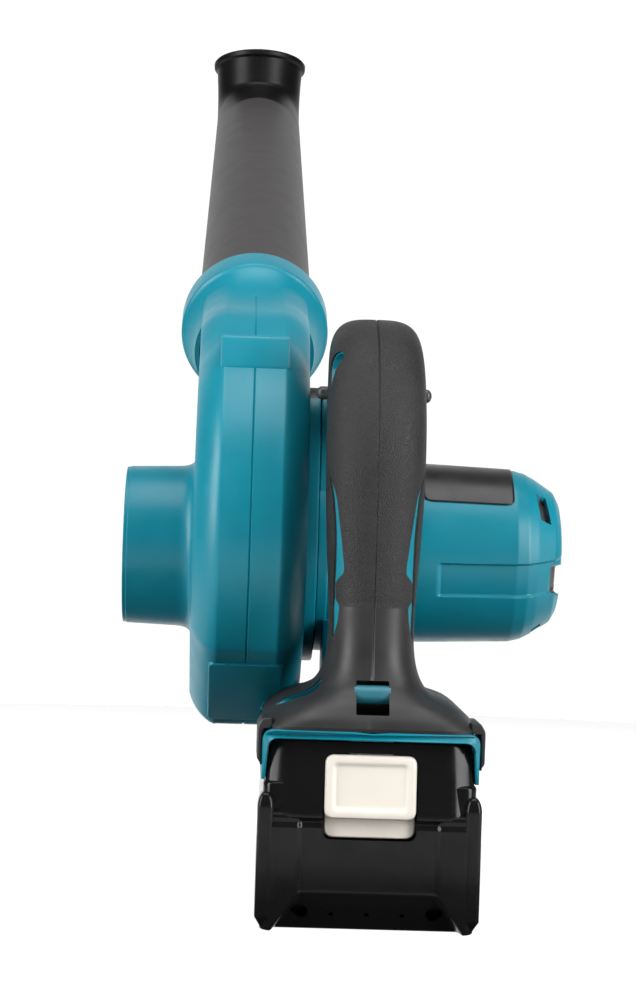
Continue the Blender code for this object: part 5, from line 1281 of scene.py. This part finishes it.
# ================================================================ controls
@dataclass
class Controls:
    """The cross button's domed ends and the trigger."""

    datum: Datum
    proud: float = 1.3 * MM

    def build(self) -> list[Object]:
        """Make the controls.

        Returns:
            The pieces.
        """
        low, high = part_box("lock_button")
        centre = Vector((0, (low.y + high.y) / 2, (low.z + high.z) / 2))
        radius = (high.z - low.z) / 2
        turn = np.linspace(0, np.pi / 2, 12)
        dome = np.stack([low.x - self.proud + radius * 0.75 * (1 - np.cos(turn)), radius * np.sin(turn)], -1)
        profile = np.concatenate([dome, dome[::-1] * [-1, 1]])
        button = lathe("cross_button", profile, centre, Vector((1, 0, 0)), 64)
        dress(button, "lock_button", DARK, replaces=("lock_button",))
        return [button, self.trigger()]

    def trigger(self) -> Object:
        """The trigger: a bar whose front is hollowed by an arc for the finger and crowned across.

        The front's Y falls with the square of the way from the middle height, and its edges are
        drawn in by a rounded section.

        Returns:
            The trigger.
        """
        low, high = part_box("trigger")
        depth = high.y - low.y
        height = np.linspace(0, 1, 48)
        hollow = 3.6 * MM * np.sin(np.pi * np.clip(height * 1.04, 0, 1)) ** 1.4
        ends = 1.8 * MM
        rise = height * (high.z - low.z)
        near = np.minimum(rise, (high.z - low.z) - rise)
        tuck = ends - np.sqrt(np.maximum(ends ** 2 - np.maximum(ends - near, 0) ** 2, 0))
        corners = [(low.x, 0, 0.8 * MM), (high.x, 0, 0.8 * MM), (high.x, 1, 3 * MM), (low.x, 1, 3 * MM)]
        flat = filleted([(x, y * depth, r) for x, y, r in corners], 8, closed=True)
        reach = flat[None, :, 1] / depth
        y = low.y + flat[None, :, 1] - (hollow[:, None] + tuck[:, None]) * reach ** 2
        x = flat[None, :, 0] * (1 - 0.1 * (tuck[:, None] / ends))
        z = low.z + rise[:, None] + 0 * x
        return dress(sheet_mesh("trigger_pad", np.stack([x, y, z], -1)), "trigger", DARK,
                     replaces=("trigger",))


# ================================================================ battery
@dataclass
class Battery:
    """The slide-on battery: a rounded block with corner pillars, a leaning hump and the release button."""

    datum: Datum
    half_width: float = 36 * MM
    deck: float = 50 * MM
    height: float = 64 * MM
    pillar_proud: float = 1.75 * MM
    pillar_width: float = 5.6 * MM
    pillar_top: float = 46.5 * MM
    lean: float = 3.5 * MM
    ridge: float = 38 * MM
    hump_half: float = 35.9 * MM
    hump_length: float = 21.5 * MM
    base_chamfer: float = 8 * MM
    base_height: float = 13 * MM
    base_half: float = 31.8 * MM
    panel_half: float = 22.6 * MM
    panel_sunk: float = 1.1 * MM
    hump_bevel: float = 7.5 * MM
    button_half: float = 15.4 * MM
    button_corner: float = 3.2 * MM
    button_low: float = 38.3 * MM
    button_high: float = 59.5 * MM

    def rear_relief(self, x: Array, z: Array) -> Array:
        """How far the rear face is set in, over the place on it.

        The lower chamfer is a slope inside a trapezoid, and the panel above it is sunk. From 35 mm
        up, the face is set in by 0.6 mm more.

        Args:
            x: Places across.
            z: Heights.

        Returns:
            The set-back.
        """
        spread = np.abs(x)
        chamfer = self.base_chamfer * np.clip((self.base_height - z) / self.base_height, 0, 1)
        edge = self.base_half - (self.base_half - self.panel_half) * z / self.base_height
        inside = 1 - smooth_step(spread - edge, -0.8 * MM, 0.8 * MM)
        beside = smooth_step(spread, self.panel_half - 0.2 * MM, self.panel_half + 1.8 * MM)
        sunk = self.panel_sunk * (1 - beside)
        upper = 0.6 * MM * smooth_step(z, 35 * MM, 36.5 * MM)
        return chamfer * inside + sunk * smooth_step(z, 8 * MM, 14 * MM) + upper

    def block_outline(self) -> Array:
        """The case's outline from above, a rounded rectangle, its points even along it."""
        half = self.datum.half_length
        radius = 5 * MM
        corners = [(-self.half_width, -half, radius), (self.half_width, -half, radius),
                   (self.half_width, half, radius), (-self.half_width, half, radius)]
        line = filleted(corners, 14, closed=True)
        closed = np.vstack([line, line[:1]])
        length = np.concatenate([[0], np.cumsum(np.hypot(*np.diff(closed, axis=0).T))])
        place = np.linspace(0, length[-1], 640, endpoint=False)
        return np.stack([np.interp(place, length, closed[:, i]) for i in range(2)], -1)

    def case(self) -> Object:
        """The main block as rings over the height, its rear face set in by the relief."""
        outline = self.block_outline()
        bands = ((0, 1.2, 6), (1.2, 14, 34), (14, 34, 24), (34, 40, 22), (40, 48.8, 14), (48.8, 50, 6))
        z = np.unique(np.concatenate([np.linspace(*band) for band in bands])) * MM
        grid_z = np.repeat(z[:, None], len(outline), 1)
        x = np.repeat(outline[None, :, 0], len(z), 0)
        y = np.repeat(outline[None, :, 1], len(z), 0)
        half = self.datum.half_length
        below = np.clip((1.2 * MM - grid_z) / (1.2 * MM), 0, 1)
        above = np.clip((grid_z - 48.8 * MM) / (1.2 * MM), 0, 1)
        rolled = 1.2 * MM * (1 - np.sqrt(np.clip(1 - below ** 2, 0, 1)))
        rolled += 1.2 * MM * (1 - np.sqrt(np.clip(1 - above ** 2, 0, 1)))
        x = x * (1 - rolled / self.half_width)
        y = y * (1 - rolled / half)
        at_rear = 1 - smooth_step(y, -half + 1.0 * MM, -half + 12 * MM)
        past_rear = smooth_step(y, -half + 9 * MM, -half + 12 * MM)
        split = 0.35 * MM * np.exp(-((grid_z - 24.15 * MM) / (0.22 * MM)) ** 2) * past_rear
        y = y + self.rear_relief(x, grid_z) * at_rear
        lean = self.lean * smooth_step(grid_z, self.ridge, self.ridge + 26 * MM) * 0.5
        hump_set = 1.1 * MM * smooth_step(grid_z, 38.2 * MM, 40.5 * MM)
        y = y + (lean + hump_set) * at_rear
        x = x - np.sign(x) * split
        return sheet_mesh("battery_case", np.stack([x, y, grid_z], -1), sharp=28)

    def hump(self) -> Object:
        """The hump behind the button: a block whose rear leans and whose side edges are bevelled."""
        rear = -self.datum.half_length
        bevel, depth = self.hump_bevel, 4.6 * MM
        corners = [(-self.hump_half, rear + depth, 2.5 * MM), (-self.hump_half + bevel, rear, 5 * MM),
                   (self.hump_half - bevel, rear, 5 * MM), (self.hump_half, rear + depth, 2.5 * MM),
                   (self.hump_half, rear + self.hump_length, 1 * MM),
                   (-self.hump_half, rear + self.hump_length, 1 * MM)]
        outline = filleted(corners, 8, closed=True)
        z = np.concatenate([np.linspace(self.ridge - 1 * MM, self.height - 0.8 * MM, 20),
                            self.height - 0.8 * MM + 0.8 * MM * np.sin(np.linspace(0.2, np.pi / 2, 6))])
        share = (z - self.ridge) / (self.height - self.ridge)
        rounding = np.clip((z - self.height + 0.8 * MM) / (0.8 * MM), 0, 1)
        tuck = 0.8 * MM * (1 - np.sqrt(np.clip(1 - rounding ** 2, 0, 1)))
        low = np.clip((self.ridge + 1.6 * MM - z) / (2.6 * MM), 0, 1)
        tuck += 1.5 * MM * (1 - np.sqrt(np.clip(1 - low ** 2, 0, 1)))
        x = outline[None, :, 0] * (1 - (tuck / self.hump_half + 0.05 * np.maximum(share, 0) ** 1.5)[:, None])
        near = 1 - (outline[None, :, 1] - rear) / self.hump_length
        y = outline[None, :, 1] + ((self.lean * share + tuck)[:, None]) * near
        return sheet_mesh("battery_hump", np.stack([x, y, z[:, None] + 0 * x], -1))

    def pillars(self) -> list[Object]:
        """The corner pillars: rounded posts with sloped shoulders at the top and the bottom."""
        rear = -self.datum.half_length
        made = []
        for side, word in ((-1, "left"), (1, "right")):
            low_x, high_x = sorted((side * (self.half_width - self.pillar_width + 1.75 * MM),
                                    side * (self.half_width + self.pillar_proud)))
            corners = [(low_x, rear, 2.0 * MM), (high_x, rear, 2.0 * MM),
                       (high_x, rear + 12 * MM, 2.0 * MM), (low_x, rear + 12 * MM, 1.0 * MM)]
            outline = filleted(corners, 8, closed=True)
            z = np.concatenate([np.linspace(0.8, 9, 16),
                                np.linspace(10, 41, 12), np.linspace(41.5, self.pillar_top / MM, 14)]) * MM
            top = np.clip((z - 41.0 * MM) / (self.pillar_top - 41.0 * MM), 0, 1)
            bottom = np.clip((4.6 * MM - z) / (3.8 * MM), 0, 1)
            tuck = 2.6 * MM * (1 - np.sqrt(np.clip(1 - top ** 2, 0, 1))) + 2.4 * MM * bottom
            centre = outline.mean(0)
            size = np.abs(outline - centre).max(0)
            shrink = 1 - tuck[:, None] / size.min()
            x = centre[0] + (outline[None, :, 0] - centre[0]) * shrink
            y = centre[1] + (outline[None, :, 1] - centre[1]) * (1 - tuck[:, None] / size.max())
            made.append(sheet_mesh(f"battery_pillar_{word}", np.stack([x, y, z[:, None] + 0 * x], -1)))
        return made

    def screw_wells(self) -> list[Object]:
        """Cutting shapes for the two screw pits low on the rear face and the three small vents between them.

        Returns:
            The cutting shapes.
        """
        rear = -self.datum.half_length
        slope = math.atan2(self.base_chamfer, self.base_height)
        outward = Vector((0, -math.cos(slope), -math.sin(slope)))
        pits = []
        for x, height, radius in ((-22.8, 6.4, 3.0), (22.8, 6.4, 3.0), (-12.0, 5.6, 0.9), (0.0, 5.6, 0.9),
                                  (12.0, 5.6, 0.9)):
            z = height * MM
            y = rear + self.base_chamfer * (1 - z / self.base_height)
            profile = np.array([(-2.6, 0.02), (-2.6, radius), (3.0, radius), (3.0, 0.02)]) * MM
            pits.append(lathe("pit", profile, Vector((x * MM, y, z)), outward, 40))
        return pits

    def tower(self) -> Object:
        """The tower that slides into the foot, with a groove along each side and the contact slots."""
        low_y, high_y = -self.datum.half_length + self.hump_length, self.datum.half_length - 11.5 * MM
        tower = block("battery_tower", (-22 * MM, low_y - 1 * MM, self.deck - 1 * MM),
                      (22 * MM, high_y, self.height), 1 * MM, 0, 1, 5)
        tools = []
        for side in (-1, 1):
            span = sorted((side * 19.3 * MM, side * 30 * MM))
            tools.append(block(f"groove_{side}", (span[0], low_y, 55 * MM),
                               (span[1], high_y + 5 * MM, 59 * MM), 0))
            tools.append(block(f"slot_{side}", (side * 14 * MM - 2.5 * MM, 8 * MM, self.deck + 2 * MM),
                               (side * 14 * MM + 2.5 * MM, high_y + 5 * MM, 70 * MM), 0))
        return carve(tower, *tools)

    def plate(self, name: str, low: float, high: float, half: float,
              rows: list[tuple[float, float]]) -> Object:
        """A plate on the leaning rear face: rounded rectangles, each drawn in and set at its own depth.

        Args:
            name: The object's name.
            low: Height of its lower edge.
            high: Height of its upper edge.
            half: Half its width.
            rows: How far each rectangle is drawn in, and its depth behind the face; minus is proud.

        Returns:
            The plate.
        """
        rings = []
        for inset, depth in rows:
            corner = max(self.button_corner - 0.5 * inset, 0.8 * MM)
            a, b, c = half - inset, low + inset, high - inset
            flat = filleted([(-a, b, corner), (a, b, corner), (a, c, corner), (-a, c, corner)], 9,
                            closed=True)
            lean = self.lean * np.maximum(flat[:, 1] - self.ridge, 0) / (self.height - self.ridge)
            rings.append(np.stack([flat[:, 0], -self.datum.half_length + lean + depth, flat[:, 1]], -1))
        return sheet_mesh(name, np.stack(rings))

    def button(self) -> Object:
        """The ivory pad: rolled edges, a raised lip and a dished middle."""
        rows = [(0.0, 3.4), (0.0, 0.3), (0.15, -0.3), (0.5, -0.75), (1.1, -0.95), (2.3, -0.95), (2.8, -0.8),
                (3.5, -0.15), (3.9, 0.0), (4.6, 0.05), (7.0, 0.05)]
        return self.plate("release_pad", self.button_low, self.button_high, self.button_half,
                          [(inset * MM, depth * MM) for inset, depth in rows])

    def build(self) -> list[Object]:
        """Make the battery's pieces.

        Returns:
            The pieces.
        """
        rear = -self.datum.half_length
        case, hump = self.case(), self.hump()
        half, low, high = self.button_half + 0.4 * MM, self.button_low - 7.2 * MM, self.button_high + 0.5 * MM
        for thing in (case, hump):
            recess = block("recess", (-half, rear - 5 * MM, low), (half, rear + 6.4 * MM, high), 3.4 * MM, 0,
                           1, 9)
            latch_slot = block("latch_slot", (-7.8 * MM, rear + 4.6 * MM, self.button_high - 12 * MM),
                               (7.8 * MM, rear + 10.2 * MM, self.height + 9 * MM), 0)
            carve(thing, recess, latch_slot)
        pocket = block("pocket", (-half, rear + 3.1 * MM, low - 6.4 * MM),
                       (half, rear + 6.3 * MM, low + 5 * MM), 0)
        carve(case, pocket)
        carve(case, *self.screw_wells())
        pieces = [case, hump, *self.pillars(), self.tower()]
        dressed = [dress(piece, "battery", GLOSS) for piece in pieces]
        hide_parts("battery_lower_case", "battery_upper_case")
        skirt = self.plate("release_skirt", self.button_low - 6.6 * MM, self.button_low + 4 * MM,
                           self.button_half - 0.1 * MM,
                           [(0.0, 5.9 * MM), (0.0, 3.8 * MM), (0.4 * MM, 3.4 * MM)])
        latch = block("release_latch", (-7.4 * MM, rear + 5.2 * MM, self.button_high - 5 * MM),
                      (7.4 * MM, rear + 9.6 * MM, self.height + 1.1 * MM), 0.6 * MM, 0, 2, 4)
        pad = dress(self.button(), "release_button", IVORY, replaces=("release_button",))
        return [*dressed, pad, dress(skirt, "release_button", IVORY), dress(latch, "release_button", IVORY)]


# ================================================================ studio
@dataclass
class Studio:
    """A pale floor, a white surround, soft lights and the camera."""

    camera_place: tuple[float, float, float] = (-0.0488, -0.9595, 0.1446)
    heading: tuple[float, float, float] = (0.031, 1.0, 0.0)
    roll: float = math.radians(1.85)
    lens: float = 97.2
    room_glow: float = 0.10
    backdrop_glow: float = 1.05

    def floor(self) -> None:
        """A wide round floor under the blower."""
        angle = np.linspace(0, 2 * np.pi, 96, endpoint=False)
        rings = np.array([0.9, 0.7, 0.5, 0.2])[:, None, None]
        points = rings * np.stack([np.cos(angle), np.sin(angle), np.zeros(96)], -1)[None]
        points[..., 2] = -0.2 * MM
        ground = sheet_mesh("floor", points, caps=False)
        ground.data.materials.clear()
        paper = bpy.data.materials.new("floor_paper")
        paper.use_nodes = True
        shader = paper.node_tree.nodes["Principled BSDF"]
        shader.inputs["Base Color"].default_value = (0.88, 0.88, 0.88, 1)
        shader.inputs["Roughness"].default_value = 0.9
        ground.data.materials.append(paper)

    def light(self, name: str, place: tuple[float, float, float], size: tuple[float, float],
              power: float) -> None:
        """Add a soft rectangular light that faces the blower.

        Args:
            name: The light's name.
            place: Where it stands.
            size: Its width and height.
            power: Its power in watts.
        """
        data = bpy.data.lights.new(name, "AREA")
        data.shape = "RECTANGLE"
        data.size, data.size_y = size
        data.energy = power
        lamp = bpy.data.objects.new(name, data)
        bpy.context.scene.collection.objects.link(lamp)
        lamp.location = place
        lamp.rotation_euler = (Vector((0, 0.02, 0.12)) - Vector(place)).to_track_quat("-Z", "Y").to_euler()

    def build(self) -> None:
        """Set up the floor, the lights, the surround and the camera."""
        self.floor()
        world = bpy.data.worlds.new("surround")
        world.use_nodes = True
        tree = world.node_tree
        facing = tree.nodes.new("ShaderNodeSeparateXYZ")
        tree.links.new(tree.nodes.new("ShaderNodeTexCoord").outputs["Generated"], facing.inputs["Vector"])
        glow = tree.nodes.new("ShaderNodeMapRange")
        for socket, number in zip(("From Min", "From Max", "To Min", "To Max"),
                                  (0.6, 0.95, self.room_glow, self.backdrop_glow)):
            glow.inputs[socket].default_value = number
        tree.links.new(facing.outputs["Y"], glow.inputs["Value"])
        tree.links.new(glow.outputs["Result"], tree.nodes["Background"].inputs["Strength"])
        tree.nodes["Background"].inputs["Color"].default_value = (1, 1, 1, 1)
        bpy.context.scene.world = world
        bpy.context.scene.view_settings.view_transform = "Standard"
        self.light("left_softbox", (-1.5, -0.65, 0.75), (0.8, 1.5), 46)
        self.light("right_softbox", (1.35, -1.0, 0.7), (0.8, 1.5), 52)
        self.light("top_softbox", (0.0, -0.2, 1.7), (1.2, 1.2), 24)
        data = bpy.data.cameras.new("camera")
        data.lens = self.lens
        data.sensor_width = 36
        data.clip_start, data.clip_end = 0.05, 50
        camera = bpy.data.objects.new("camera", data)
        bpy.context.scene.collection.objects.link(camera)
        look = Vector(self.heading).to_track_quat("-Z", "Y").to_matrix().to_4x4()
        place = Matrix.Translation(self.camera_place)
        camera.matrix_world = place @ look @ Matrix.Rotation(self.roll, 4, "Z")
        bpy.context.scene.camera = camera


def dress_cad_nodes() -> None:
    """Give every CAD node that still shows the finish of its record's material slot."""
    by_slot = {finish.slot: finish for finish in FINISHES}
    slots = {part["node"]: part["material_slot"] for part in frame["record"]["subparts"]}
    for node, thing in frame["nodes"].items():
        material = by_slot[slots[node]].material()
        for holder in thing.material_slots:
            holder.material = material
        LOG.info("CAD node %s wears %s", node, material.name)


def main() -> None:
    """Build the blower's looks round the frame."""
    logging.basicConfig(level=logging.INFO, format="%(message)s")
    datum = Datum.read()
    Studio().build()
    dress_cad_nodes()
    for maker in (Nozzle, Volute, Barrel, Handle, Controls, Battery):
        pieces = maker(datum).build()
        LOG.info("%s is done: %s", maker.__name__, pieces)


if __name__ == "__main__":
    main()
